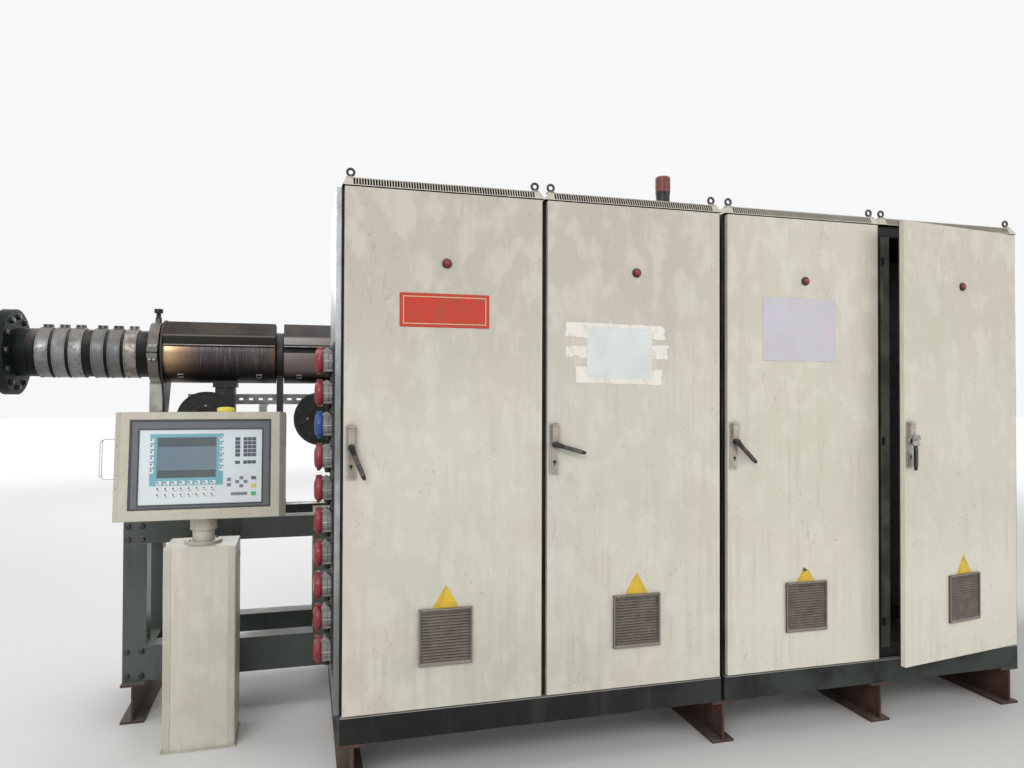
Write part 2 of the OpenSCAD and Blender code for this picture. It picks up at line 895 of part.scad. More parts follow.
module base_legs() {
    inside = base_w - 2 * rail_w;
    low = beam_h + low_rail_h;
    color(dark)
        for (n = [0:leg_count - 1]) {
            for (y = [-base_w / 2, base_w / 2 - rail_w])
                translate([leg_x(n) - rail_w / 2, axis_y + y, low])
                    cube([rail_w, rail_w, base_top - top_rail_h - low]);
            for (z = [beam_h + (low_rail_h - tie_h) / 2, base_top - (top_rail_h + tie_h) / 2])
                translate([leg_x(n) - rail_w / 2, axis_y - inside / 2, z]) cube([rail_w, inside, tie_h]);
        }
}

module barrel() {
    color([0.20, 0.19, 0.18])
        on_axis(barrel_x) {
            difference() {
                along_x(barrel_d, throat_x - barrel_x);
                translate([-1, 0, 0]) along_x(bore_d, bore_depth + 1);
            }
            translate([4, 0, 0]) rotate([0, 90, 0]) cylinder(d1 = 14, d2 = bore_d - 24, h = bore_depth - 3);
        }
}

module outlet_flange() {
    color([0.12, 0.15, 0.13])
        on_axis(outlet_x)
            difference() {
                union() {
                    along_x(flange_d, flange_t);
                    along_x(neck_d, flange_t + neck_l);
                }
                translate([-1, 0, 0]) along_x(outlet_d, flange_t + neck_l + 2);
                for (k = [0:flange_bolts - 1])
                    rotate([k * 360 / flange_bolts, 0, 0])
                        translate([-1, 0, flange_pcd / 2]) along_x(flange_hole_d, flange_t + 2);
            }
}

module heater_band() {
    difference() {
        along_x(band_d, band_w);
        translate([-1, 0, 0]) along_x(barrel_d + 2 * seat_gap, band_w + 2);
        translate([-1, -band_slit / 2, 0]) cube([band_w + 2, band_slit, band_d]);
    }
    for (side = [-1, 1])
        translate([6, side * (band_slit / 2 + 2) - 2, barrel_d / 2 + 3]) cube([band_w - 12, 4, lug_h]);
    for (x = [18, band_w - 18])
        translate([x, -band_slit / 2 - 9, barrel_d / 2 + 3 + lug_h - screw_r - 4]) along_y(screw_r, band_slit + 18);
    translate([band_w / 2 - 14, 0, 0])
        rotate([-52, 0, 0]) translate([0, -15, barrel_d / 2 + 3]) cube([28, 30, 26]);
}

module heater_bands() {
    color(steel)
        for (n = [0:5]) on_axis(band_x(n)) heater_band();
}

// A plate across both base rails under a support w wide
module support_foot(w) {
    translate([-foot_out, -base_w / 2, base_top - axis_z]) cube([w + 2 * foot_out, base_w, foot_t]);
}

module barrel_supports() {
    below = axis_z - base_top;
    lug = 34;
    nut_h = 18;
    shoulder = [shield_d * 0.446, -shield_d * 0.224];
    color([0.55, 0.55, 0.52])
        on_axis(outlet_x + clamp_at) {
            difference() {
                union() {
                    along_x(clamp_d, clamp_w);
                    translate([0, -clamp_d / 2 - lug / 2, -26]) cube([clamp_w, clamp_d + lug, 52]);
                    translate([(clamp_w - column_w) / 2, -column_d / 2, -below])
                        cube([column_w, column_d, below - clamp_d / 2 + 16]);
                }
                translate([-1, 0, 0]) along_x(barrel_d + 2 * seat_gap, clamp_w + 2);
                translate([-1, -clamp_d, -clamp_split / 2]) cube([clamp_w + 2, 2 * clamp_d, clamp_split]);
            }
            for (side = [-1, 1], x = [15, clamp_w - 15])
                translate([x, side * (clamp_d / 2 + 2), -38]) cylinder(r = 7, h = 76);
            translate([clamp_w / 2, 0, clamp_d / 2 - 4]) {
                cylinder(r = 15, h = nut_h + 4, $fn = 6);
                cylinder(r = 10, h = nut_h + stem_l + 5);
                translate([0, 0, nut_h + stem_l + 4]) cylinder(r = knob_r, h = knob_h);
            }
            support_foot(clamp_w);
        }
    color(dark)
        on_axis(outlet_x + zone_at - shield_t)
            difference() {
                union() {
                    along_x(shield_d, shield_t);
                    carried_x(shield_t)
                        polygon([[-shoulder[0], shoulder[1]], [shoulder[0], shoulder[1]],
                            [shield_foot / 2, -shield_taper], [shield_foot / 2, -below],
                            [-shield_foot / 2, -below], [-shield_foot / 2, -shield_taper]]);
                }
                translate([-1, 0, 0]) along_x(barrel_d + 2 * seat_gap, shield_t + 2);
            }
    color(browned)
        for (n = [1:zone_count - 1])
            on_axis(zone_x(n) - (zone_pitch - zone_l + saddle_w) / 2)
                difference() {
                    union() {
                        support_foot(saddle_w);
                        translate([0, -60, -below]) cube([saddle_w, 120, below]);
                        along_x(barrel_d + 2 * saddle_rim, saddle_w);
                    }
                    translate([-1, 0, 0]) along_x(barrel_d + 2 * seat_gap, saddle_w + 2);
                }
}

module zone_casings() {
    color(browned)
        for (n = [0:zone_count - 1])
            on_axis(zone_x(n))
                difference() {
                    union() {
                        translate([4, 0, 0]) along_x(core_d, zone_l - 8);
                        difference() {
                            along_x(zone_d, zone_l);
                            translate([-1, -zone_d, lid_low - (n == 1 ? open_slot : 0)])
                                cube([zone_l + 2, 2 * zone_d, zone_d]);
                        }
                    }
                    translate([-1, 0, 0]) along_x(barrel_d + 2 * seat_gap, zone_l + 2);
                }
}

// Outline of a zone lid, drawn in by t on every side
function lid_outline(t) = [
    [lid_half - t, lid_low - (t > 0 ? 1 : 0)],
    [knee_half - t, knee_z - t * 0.4],
    [top_half - t * 0.4, lid_top - t],
    [t * 0.4 - top_half, lid_top - t],
    [t - knee_half, knee_z - t * 0.4],
    [t - lid_half, lid_low - (t > 0 ? 1 : 0)]
];

module zone_lids() {
    color([0.36, 0.33, 0.29])
        for (n = [0:zone_count - 1])
            on_axis(zone_x(n))
                difference() {
                    carried_x(zone_l) polygon(lid_outline(0));
                    translate([lid_sheet, 0, 0])
                        carried_x(zone_l - 2 * lid_sheet) polygon(lid_outline(lid_sheet));
                    translate([-1, 0, 0]) along_x(barrel_d + 2 * seat_gap, zone_l + 2);
                }
}

module zone_blower() {
    duct_x = -scroll_left + scroll_r - duct_w;
    difference() {
        union() {
            translate([-scroll_left, -scroll_t / 2, -scroll_drop]) along_y(scroll_r, scroll_t);
            translate([duct_x, -scroll_t / 2, -scroll_drop])
                cube([duct_w, scroll_t, scroll_drop - core_d / 4]);
            translate([duct_x - 10, -scroll_t / 2 - 10, -zone_d / 2 - 22])
                cube([duct_w + 20, scroll_t + 20, 60]);
            translate([-scroll_left, scroll_t / 2, -scroll_drop]) along_y(fan_motor_r, fan_motor_l);
            translate([-scroll_left, -scroll_t / 2 - 8, -scroll_drop]) along_y(inlet_r + 10, 9);
        }
        translate([-zone_l, 0, 0]) along_x(zone_d + 2 * seat_gap, 2 * zone_l);
        translate([-scroll_left, -scroll_t / 2 - 9, -scroll_drop]) along_y(inlet_r, 8);
    }
}

module zone_blowers() {
    color(dark)
        for (n = [0:zone_count - 1]) on_axis(zone_x(n) + zone_l / 2) zone_blower();
}

module cable_tray() {
    tray_x = zone_x(0) + 60;
    tray_l = throat_x - tray_x;
    y = axis_y + tray_back;
    color(steel) {
        difference() {
            block([tray_x, y, tray_z], [tray_x + tray_l, y + tray_w, tray_z + tray_h]);
            block([tray_x - 1, y + tray_sheet, tray_z + tray_sheet],
                [tray_x + tray_l + 1, y + tray_w - tray_sheet, tray_z + tray_h + 1]);
            for (k = [1:floor(tray_l / tray_pitch) - 1])
                translate([tray_x + k * tray_pitch, y - 1, tray_z + tray_h / 2 - 6])
                    cube([tray_pitch / 2, tray_w + 2, 12]);
        }
        for (n = [0:zone_count - 1])
            translate([zone_x(n) + zone_l - 90, axis_y + base_w / 2 - rail_w, base_top]) {
                cube([40, 8, tray_z - base_top - seat_gap]);
                translate([0, 0, tray_z - base_top - 8])
                    cube([40, tray_back - base_w / 2 + rail_w + tray_w, 8 - seat_gap]);
            }
    }
}

module feed_throat() {
    color([0.24, 0.27, 0.25])
        on_axis(throat_x)
            difference() {
                union() {
                    translate([throat_flange / 2, -throat_w / 2, -throat_w / 2])
                        cube([throat_l - throat_flange, throat_w, throat_w]);
                    for (x = [0, throat_l - throat_flange])
                        translate([x, 0, 0]) along_x(throat_w + 2 * throat_rim, throat_flange);
                    translate([throat_l / 2 - hopper_flange / 2, -hopper_flange / 2, throat_w / 2 - 1])
                        cube([hopper_flange, hopper_flange, throat_seat + 1]);
                }
                translate([throat_l / 2, 0, -20]) cylinder(d = feed_d, h = throat_w);
            }
}

module feed_hopper() {
    foot_z = throat_w / 2 + throat_seat;
    cone_h = hopper_h - hopper_rim - hopper_flange_t;
    slope = (hopper_w - feed_d - 2 * hopper_sheet) / 2;
    inside = hopper_w - 2 * hopper_sheet;
    color(steel)
        on_axis(throat_x + throat_l / 2)
            translate([0, 0, foot_z]) {
                difference() {
                    translate([-hopper_flange / 2, -hopper_flange / 2, 0])
                        cube([hopper_flange, hopper_flange, hopper_flange_t]);
                    translate([0, 0, -1]) cylinder(d = feed_d, h = hopper_flange_t + 2);
                }
                difference() {
                    translate([-hopper_w / 2, -hopper_w / 2, hopper_flange_t + cone_h])
                        mirror([0, 0, 1]) sloped_block(hopper_w, hopper_w, cone_h, slope);
                    translate([-inside / 2, -inside / 2, hopper_flange_t + cone_h])
                        mirror([0, 0, 1]) sloped_block(inside, inside, cone_h, slope);
                }
                difference() {
                    translate([-hopper_w / 2, -hopper_w / 2, hopper_flange_t + cone_h])
                        cube([hopper_w, hopper_w, hopper_rim]);
                    translate([-inside / 2, -inside / 2, hopper_flange_t + cone_h - 1])
                        cube([inside, inside, hopper_rim + 2]);
                }
            }
}

module gearbox() {
    high = axis_z + gear_up;
    side = gear_w / 2 + gear_rim;
    color([0.24, 0.27, 0.25])
        translate([gear_x, axis_y, 0]) {
            block([0, -gear_w / 2, base_top], [gear_l, gear_w / 2, high]);
            block([-gear_rim, -side, base_top], [gear_l + gear_rim, side, base_top + gear_flange]);
            block([0, -side, axis_z - gear_flange / 2], [gear_l + gear_rim, side, axis_z + gear_flange / 2]);
            for (x = [rib_in, gear_l / 2, gear_l - rib_in])
                translate([x - rib_t / 2, -side, base_top]) cube([rib_t, 2 * side, axis_z - base_top]);
            translate([gear_l - 1, 0, motor_z]) along_x(cover_d, gear_cover + 1);
            translate([gear_l * 0.3, 0, high - 1]) cylinder(r = 40, h = 36);
        }
}

module drive_motor() {
    foot = motor_z - base_top;
    color([0.30, 0.36, 0.38])
        translate([motor_x, axis_y, motor_z]) {
            along_x(2 * (motor_r - fin_h), motor_l);
            for (k = [0:fin_count - 1])
                rotate([k * 360 / fin_count, 0, 0])
                    translate([30, -fin_t / 2, motor_r - fin_h - 6]) cube([motor_l - 60, fin_t, fin_h + 6]);
            along_x(2 * motor_r, 34);
            translate([motor_l - 34, 0, 0]) along_x(2 * motor_r, 34);
            translate([motor_l - 1, 0, 0]) along_x(2 * motor_r - 10, cowl_l);
            for (x = [foot_in, motor_l - foot_in - foot_l])
                translate([x, -motor_r + 20, -foot]) cube([foot_l, 2 * motor_r - 40, foot - motor_r / 2]);
            translate([gear_cover - coupling_l, 0, 0]) along_x(shaft_d, coupling_l - gear_cover + 1);
            translate([box_in, -box_w / 2, motor_r - 40]) cube([box_l, box_w, box_h + 40]);
        }
}

module coupling_guard() {
    deep = motor_z - base_top;
    long = coupling_l - gear_cover - 4;
    inside_r = guard_r - guard_t;
    color([0.80, 0.62, 0.12])
        translate([coupling_x + gear_cover + 2, axis_y, motor_z])
            difference() {
                union() {
                    along_x(2 * guard_r, long);
                    translate([0, -guard_r, -deep]) cube([long, 2 * guard_r, deep]);
                }
                translate([-1, 0, 0]) along_x(2 * inside_r, long + 2);
                translate([-1, -inside_r, -deep - 1]) cube([long + 2, 2 * inside_r, deep + 1]);
            }
}

// The console's swivel axis, at the height of the middle of its panel
module at_console() {
    translate([row_left + console_x, row_front + console_back, console_z]) children();
}

// The console box leans back about that place
module on_console() {
    at_console() rotate([-lean, 0, 0]) children();
}

module console_pedestal() {
    color(cream)
        translate([row_left + console_x, row_front + console_back, 0]) {
            linear_extrude(pedestal_h) round_rect(pedestal_w, pedestal_d, 5);
            translate([-60, pedestal_d / 2 - 1, beam_h + 20])
                cube([120, axis_back - console_back - base_w / 2 - pedestal_d / 2 + 1, 110]);
            cylinder(r = neck_r + 30, h = pedestal_h + 12);
            cylinder(r = neck_r, h = neck_top);
            cylinder(r = swivel_r, h = neck_top + swivel_l);
        }
}

module console_box() {
    side = console_w / 2;
    front = -console_d / 2;
    color(cream)
        difference() {
            union() {
                on_console()
                    difference() {
                        translate([0, 0, box_rise - console_h / 2])
                            linear_extrude(console_h)
                                polygon([[bevel - side, front], [side - bevel, front], [side, front + bevel],
                                    [side, -front], [-side, -front], [-side, front + bevel]]);
                        translate([0, front + recess / 2 - 1, recess_rise])
                            cube([recess_w, recess + 2, recess_h], center = true);
                    }
                at_console()
                    translate([0, 0, neck_top - console_z + seat_gap]) cylinder(r = neck_r + 10, h = collar_h + 16);
            }
            at_console()
                translate([0, 0, neck_top - console_z - 1]) cylinder(r = swivel_r + run_gap, h = swivel_l + 4);
        }
}

module console_bezel() {
    color([0.33, 0.34, 0.36])
        on_console()
            translate([0, 3 - console_d / 2, 0])
                difference() {
                    translate([0, 0, recess_rise])
                        carried_y(recess - 3) square([recess_w, recess_h], center = true);
                    translate([0, -1, 0]) carried_y(recess) square([panel_w, panel_h], center = true);
                }
}

module console_panel() {
    color([0.80, 0.83, 0.86])
        on_console()
            translate([0, 6 - console_d / 2, 0])
                difference() {
                    carried_y(recess - 6) square([panel_w, panel_h], center = true);
                    translate([screen_left - panel_w / 2, -1, panel_h / 2 - screen_top - screen_h])
                        cube([screen_w, 6, screen_h]);
                }
}

module console_screen() {
    color([0.42, 0.45, 0.47])
        on_console()
            translate([screen_left - panel_w / 2, 7 - console_d / 2, panel_h / 2 - screen_top - screen_h])
                cube([screen_w, 4, screen_h]);
}

// A block of keys: first key's place from the panel's top left, columns and rows, their pitch and size
module key_block(at, count, pitch, size) {
    for (c = [0:count[0] - 1], r = [0:count[1] - 1])
        translate([at[0] + c * pitch[0] - panel_w / 2, -key_t, panel_h / 2 - at[1] - r * pitch[1] - size[1]])
            cube([size[0], key_t, size[1]]);
}

module console_keys() {
    beside = screen_left + screen_w;
    below = screen_top + screen_h;
    color([0.88, 0.88, 0.88])
        on_console()
            translate([0, 6 - console_d / 2, 0]) {
                key_block([screen_left - 27, screen_top + 5], [1, 6], [24, 25.4], [16, 18]);
                key_block([beside + 12, screen_top - 1], [1, 6], [24, 25.4], [16, 18]);
                key_block([screen_left, below + 11], [8, 3], [30.1, 25.5], [20, 18]);
                key_block([beside + 74, screen_top + 3], [1, 5], [17, 17], [20, 14]);
                key_block([beside + 74, screen_top + 103], [1, 1], [17, 17], [20, 13]);
                key_block([beside + 107, screen_top + 3], [3, 5], [17.7, 17], [16, 14]);
                key_block([beside + 107, screen_top + 102], [3, 1], [17.7, 17], [16, 14]);
                key_block([beside + 43, below + 3], [1, 2], [16, 23], [16, 14]);
                key_block([beside + 76, below + 14], [2, 1], [34, 16], [15, 13]);
                key_block([beside + 93, below - 2], [1, 2], [16, 34], [15, 13]);
                key_block([beside + 140, below - 1], [1, 3], [16, 17], [20, 13]);
                key_block([beside + 140, below + 64], [1, 1], [16, 16], [20, 16]);
                key_block([beside + 59, below + 65], [1, 1], [16, 16], [66, 12]);
            }
}

module console_handle() {
    x = -console_w / 2;
    top = box_rise + console_h / 2 - grip_drop;
    color([0.85, 0.85, 0.86])
        on_console() {
            for (z = [top, top - grip_l])
                translate([x - grip_out, -60, z]) {
                    sphere(grip_r);
                    rotate([0, 90, 0]) cylinder(r = grip_r, h = grip_out);
                }
            translate([x - grip_out, -60, top - grip_l]) cylinder(r = grip_r, h = grip_l);
        }
}

module console_cap() {
    color([0.85, 0.78, 0.10])
        on_console()
            translate([cap_right, 0, box_rise + console_h / 2]) {
                cylinder(r = cap_r, h = round_cap_h - 6);
                translate([0, 0, round_cap_h - 6]) cylinder(r1 = cap_r, r2 = cap_r - 8, h = 6);
            }
}

cross_beams();
plinth_frames();
cabinet_floors();
cabinet_posts();
cabinet_roofs();
roof_vent_caps();
lifting_eyes();
rear_panels();
end_panels();
mounting_plates();
door_hinges();
beacon_base();
beacon_lens();
socket_bodies();
socket_lids();
door_leaf(1);  // door_1
door_leaf(2);  // door_2
door_leaf(3);  // door_3
door_leaf(4);  // door_4
door_lamp(1);  // door_lamp_1
door_lamp(2);  // door_lamp_2
door_lamp(3);  // door_lamp_3
door_lamp(4);  // door_lamp_4
door_grille(1);  // door_grille_1
door_grille(2);  // door_grille_2
door_grille(3);  // door_grille_3
door_grille(4);  // door_grille_4
latch_plate(1);  // latch_plate_1
latch_plate(2);  // latch_plate_2
latch_plate(3);  // latch_plate_3
latch_plate(4);  // latch_plate_4
lever(1);  // lever_1
lever(2);  // lever_2
lever(3);  // lever_3
lever(4);  // lever_4
base_rails();
base_legs();
barrel();
outlet_flange();
heater_bands();
barrel_supports();
zone_casings();
zone_lids();
zone_blowers();
cable_tray();
feed_throat();
feed_hopper();
gearbox();
drive_motor();
coupling_guard();
console_pedestal();
console_box();
console_bezel();
console_panel();
console_screen();
console_keys();
console_handle();
console_cap();
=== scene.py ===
# Looks of the plastic extruder: finishes, fine fittings, floor, light and camera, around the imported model
import json
import math

import bpy
import numpy as np
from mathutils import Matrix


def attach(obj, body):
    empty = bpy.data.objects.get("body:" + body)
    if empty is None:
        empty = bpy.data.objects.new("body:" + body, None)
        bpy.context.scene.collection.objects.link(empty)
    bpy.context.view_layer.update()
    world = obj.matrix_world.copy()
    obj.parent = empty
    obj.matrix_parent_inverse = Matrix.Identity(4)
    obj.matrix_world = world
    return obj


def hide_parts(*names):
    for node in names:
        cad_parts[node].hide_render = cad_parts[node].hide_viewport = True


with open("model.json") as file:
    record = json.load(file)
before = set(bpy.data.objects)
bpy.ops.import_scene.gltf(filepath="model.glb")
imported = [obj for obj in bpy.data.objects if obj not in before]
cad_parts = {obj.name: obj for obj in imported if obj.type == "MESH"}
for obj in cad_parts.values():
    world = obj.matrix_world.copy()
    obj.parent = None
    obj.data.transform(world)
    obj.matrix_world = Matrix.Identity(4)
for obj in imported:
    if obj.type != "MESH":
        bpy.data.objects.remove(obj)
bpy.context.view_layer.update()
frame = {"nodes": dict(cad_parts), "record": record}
nodes = frame["nodes"]
print("frame loaded,", len(nodes), "nodes")

photoView = {
    "place": (-1.493, -3.597, 1.490),  # in front of the first cabinet, at eye height
    "turn": -15.43,  # degrees round the upright, to the right of straight ahead
    "pitch": 0.75,
    "roll": -0.17,
    "lens": 26.52,
    "sensor": 36.0,
}

studio = {
    "floorSize": 90.0,
    "floorColour": (0.74, 0.735, 0.72),
    "floorRough": 0.85,
    "fade": (4.0, 14.0),  # from this far to that far the floor takes on the world's colour
    "worldColour": (0.93, 0.94, 0.95),
    "worldLight": 0.45,
    "lamps": [  # name, place, aim, width, height, watts
        ("keyLamp", (-5.5, -8.5, 6.5), (0.2, 0.0, 1.2), 6.0, 4.5, 446.0),
        ("fillLamp", (6.5, -8.0, 4.0), (0.8, 0.0, 1.1), 6.0, 4.5, 238.0),
        ("topLamp", (-1.0, 1.0, 7.0), (-0.5, 0.4, 0.0), 7.0, 4.0, 187.0),
        ("backLamp", (-2.0, 8.5, 5.0), (0.0, 0.0, 1.4), 7.0, 4.0, 302.0),
    ],
}


def addNode(tree, kind, links=None, **settings):  # one node with its settings, values and links
    made = tree.nodes.new(kind)
    for key, value in settings.items():
        setattr(made, key, value)
    for key, value in (links or {}).items():
        if isinstance(value, bpy.types.NodeSocket):
            tree.links.new(value, made.inputs[key])
        else:
            made.inputs[key].default_value = value
    return made


def noiseNode(tree, vector, scale, detail, rough=0.5):
    return addNode(tree, "ShaderNodeTexNoise", {"Vector": vector, "Scale": scale, "Detail": detail,
                                                "Roughness": rough}).outputs[0]


def rangeNode(tree, value, low, high, kind="LINEAR"):  # 0 at low and under, 1 at high and over
    return addNode(tree, "ShaderNodeMapRange", {"Value": value, "From Min": low, "From Max": high},
                   interpolation_type=kind).outputs[0]


def mathNode(tree, operation, *values):
    return addNode(tree, "ShaderNodeMath", dict(enumerate(values)), operation=operation).outputs[0]


def linked(obj):
    bpy.context.scene.collection.objects.link(obj)
    return obj


def makeCamera(s):
    data = bpy.data.cameras.new("photoCamera")
    data.lens = s["lens"]
    data.sensor_width = s["sensor"]
    camera = linked(bpy.data.objects.new("photoCamera", data))
    camera.location = s["place"]
    camera.rotation_euler = [math.radians(a) for a in (90 + s["pitch"], s["roll"], s["turn"])]
    bpy.context.scene.camera = camera


def makeFloor(s):
    half = s["floorSize"] / 2
    mesh = bpy.data.meshes.new("studioFloor")
    mesh.from_pydata([(-half, -half, 0), (half, -half, 0), (half, half, 0), (-half, half, 0)], [],
                     [(0, 1, 2, 3)])
    linked(bpy.data.objects.new("studioFloor", mesh))
    material = bpy.data.materials.new("paleFloor")
    material.use_nodes = True
    mesh.materials.append(material)
    tree = material.node_tree
    surface = tree.nodes["Principled BSDF"]
    place = addNode(tree, "ShaderNodeTexCoord").outputs["Object"]
    far = addNode(tree, "ShaderNodeVectorMath", {0: place}, operation="LENGTH").outputs["Value"]
    fade = rangeNode(tree, far, *s["fade"], "SMOOTHSTEP")
    mixed = addNode(tree, "ShaderNodeMix", {0: fade, 6: (*s["floorColour"], 1), 7: (0, 0, 0, 1)},
                    data_type="RGBA")
    tree.links.new(mixed.outputs[2], surface.inputs["Base Color"])
    tree.links.new(fade, surface.inputs["Emission Strength"])
    surface.inputs["Emission Color"].default_value = (*s["worldColour"], 1)
    surface.inputs["Roughness"].default_value = s["floorRough"]


def makeWorld(s):  # white to the camera and in metal and glass, dimmer as a light on the object
    world = bpy.data.worlds.new("paleWorld")
    bpy.context.scene.world = world
    world.use_nodes = True
    tree = world.node_tree
    sky = tree.nodes["Background"]
    sky.inputs["Color"].default_value = (*s["worldColour"], 1)
    seen = addNode(tree, "ShaderNodeLightPath").outputs
    shown = mathNode(tree, "ADD", seen["Is Glossy Ray"], seen["Is Transmission Ray"])
    shown = mathNode(tree, "ADD", shown, seen["Is Camera Ray"])
    strength = addNode(tree, "ShaderNodeMapRange", {"Value": shown, "To Min": s["worldLight"], "To Max": 1.0})
    tree.links.new(strength.outputs["Result"], sky.inputs["Strength"])


def makeLamps(s):  # each lamp's -Z is turned from its place towards its aim
    for name, place, aim, width, height, watts in s["lamps"]:
        data = bpy.data.lights.new(name, "AREA")
        data.shape = "RECTANGLE"
        data.size, data.size_y, data.energy = width, height, watts
        lamp = linked(bpy.data.objects.new(name, data))
        way = np.array(aim, float) - np.array(place, float)
        lamp.location = place
        lamp.rotation_euler = (math.atan2(math.hypot(way[0], way[1]), -way[2]), 0.0,
                               math.atan2(way[1], way[0]) - math.pi / 2)


bpy.context.scene.view_settings.view_transform = "Standard"
makeCamera(photoView)
makeFloor(studio)
makeWorld(studio)
makeLamps(studio)
print("camera and studio ready")


# Shader node groups, each with one output
def startGroup(name, output, **inputs):  # an input given as a number is a float, any other a vector
    tree = bpy.data.node_groups.new(name, "ShaderNodeTree")
    for title, value in inputs.items():
        kind = "NodeSocketFloat" if isinstance(value, float) else "NodeSocketVector"
        socket = tree.interface.new_socket(title, in_out="INPUT", socket_type=kind)
        if value is not None:
            socket.default_value = value
    kind = "NodeSocketVector" if output == "Normal" else "NodeSocketFloat"
    tree.interface.new_socket(output, in_out="OUTPUT", socket_type=kind)
    return tree, tree.nodes.new("NodeGroupInput").outputs


def endGroup(tree, value):
    tree.links.new(value, tree.nodes.new("NodeGroupOutput").inputs[0])
    return tree


def makeClouds():  # soft or sharp patches of noise, stretched along any axis
    tree, given = startGroup("clouds", "Mask", Vector=None, Scale=4.0, Stretch=(1, 1, 1), Detail=4.0,
                             Low=0.45, High=0.65, Shift=(0, 0, 0))
    placed = addNode(tree, "ShaderNodeMapping", {"Vector": given["Vector"], "Location": given["Shift"],
                                                 "Scale": given["Stretch"]})
    noise = noiseNode(tree, placed.outputs[0], given["Scale"], given["Detail"], 0.6)
    return endGroup(tree, rangeNode(tree, noise, given["Low"], given["High"], "SMOOTHSTEP"))


def makeRub():  # outer edges, where a rounded normal differs from the plain one, broken up by noise
    tree, given = startGroup("edgeRub", "Mask", Vector=None, Radius=0.003, Scale=30.0, Low=0.42, High=0.62)
    rounded = addNode(tree, "ShaderNodeBevel", {"Radius": given["Radius"]}, samples=4)
    plain = addNode(tree, "ShaderNodeNewGeometry")
    same = addNode(tree, "ShaderNodeVectorMath", {0: rounded.outputs[0], 1: plain.outputs["Normal"]},
                   operation="DOT_PRODUCT")
    edge = rangeNode(tree, same.outputs["Value"], 0.995, 0.90)
    broken = rangeNode(tree, noiseNode(tree, given["Vector"], given["Scale"], 5.0), given["Low"],
                       given["High"])
    return endGroup(tree, mathNode(tree, "MULTIPLY", edge, broken))


def makeDust():  # dust on what faces up, thinned by noise
    tree, given = startGroup("settledDust", "Mask", Vector=None, Scale=9.0, Thin=0.35)
    plain = addNode(tree, "ShaderNodeNewGeometry")
    up = addNode(tree, "ShaderNodeSeparateXYZ", {0: plain.outputs["Normal"]}).outputs["Z"]
    patch = rangeNode(tree, noiseNode(tree, given["Vector"], given["Scale"], 6.0), given["Thin"], 0.62)
    return endGroup(tree, mathNode(tree, "MULTIPLY", rangeNode(tree, up, 0.25, 0.95), patch))


def makeShadeAndGrime():  # painted shade and dirt in corners, from how much of the sky a point sees nearby, broken up by noise
    tree, given = startGroup("cornerShadeAndGrime", "Mask", Vector=None, Reach=0.03, Scale=14.0)
    near = addNode(tree, "ShaderNodeAmbientOcclusion", {"Distance": given["Reach"]}, samples=4).outputs["AO"]
    patch = rangeNode(tree, noiseNode(tree, given["Vector"], given["Scale"], 5.0), 0.3, 0.6)
    return endGroup(tree, mathNode(tree, "MULTIPLY", rangeNode(tree, near, 0.95, 0.35), patch))


def makeSpan():  # 1 between two places along one direction, fading out over a soft edge that noise ruffles
    tree, given = startGroup("span", "Mask", Vector=None, Along=(0, 0, 1), From=0.0, To=1.0, Soft=0.02,
                             Ruffle=0.0, Scale=8.0)
    put = addNode(tree, "ShaderNodeVectorMath", {0: given["Vector"], 1: given["Along"]},
                  operation="DOT_PRODUCT")
    centred = mathNode(tree, "SUBTRACT", noiseNode(tree, given["Vector"], given["Scale"], 4.0), 0.5)
    at = mathNode(tree, "MULTIPLY_ADD", centred, given["Ruffle"], put.outputs["Value"])
    lowEdge = mathNode(tree, "SUBTRACT", given["From"], given["Soft"])
    highEdge = mathNode(tree, "ADD", given["To"], given["Soft"])
    rise = rangeNode(tree, at, lowEdge, given["From"], "SMOOTHSTEP")
    fall = rangeNode(tree, at, highEdge, given["To"], "SMOOTHSTEP")
    return endGroup(tree, mathNode(tree, "MULTIPLY", rise, fall))


def makeGrain():  # rounded edges with a fine grain on top
    tree, given = startGroup("fineGrain", "Normal", Vector=None, Scale=300.0, Stretch=(1, 1, 1),
                             Strength=0.15, Depth=0.0005, Edge=0.0015)
    rounded = addNode(tree, "ShaderNodeBevel", {"Radius": given["Edge"]}, samples=4)
    placed = addNode(tree, "ShaderNodeMapping", {"Vector": given["Vector"], "Scale": given["Stretch"]})
    noise = noiseNode(tree, placed.outputs[0], given["Scale"], 3.0)
    bump = addNode(tree, "ShaderNodeBump", {"Strength": given["Strength"], "Distance": given["Depth"],
                                            "Height": noise, "Normal": rounded.outputs[0]})
    return endGroup(tree, bump.outputs[0])


groups = {"clouds": makeClouds(), "rub": makeRub(), "dust": makeDust(), "shadeAndGrime": makeShadeAndGrime(),
          "span": makeSpan(), "grain": makeGrain()}
print("shader groups ready")


# Finishes
def feed(tree, socket, value):  # a value that is the same all over goes on the socket itself
    if isinstance(value, bpy.types.NodeSocket):
        tree.links.new(value, socket)
    else:
        socket.default_value = value


def maskOf(tree, places, layer):  # the product of a layer's masks and its amount
    made = None
    for kind, values, *source in layer["masks"]:
        part = addNode(tree, "ShaderNodeGroup", {"Vector": places[source[0] if source else "object"]},
                       node_tree=groups[kind])
        for key, value in values.items():
            part.inputs[key].default_value = value
        made = mathNode(tree, "MULTIPLY", made, part.outputs["Mask"]) if made else part.outputs["Mask"]
    return mathNode(tree, "MULTIPLY", made, layer["amount"])


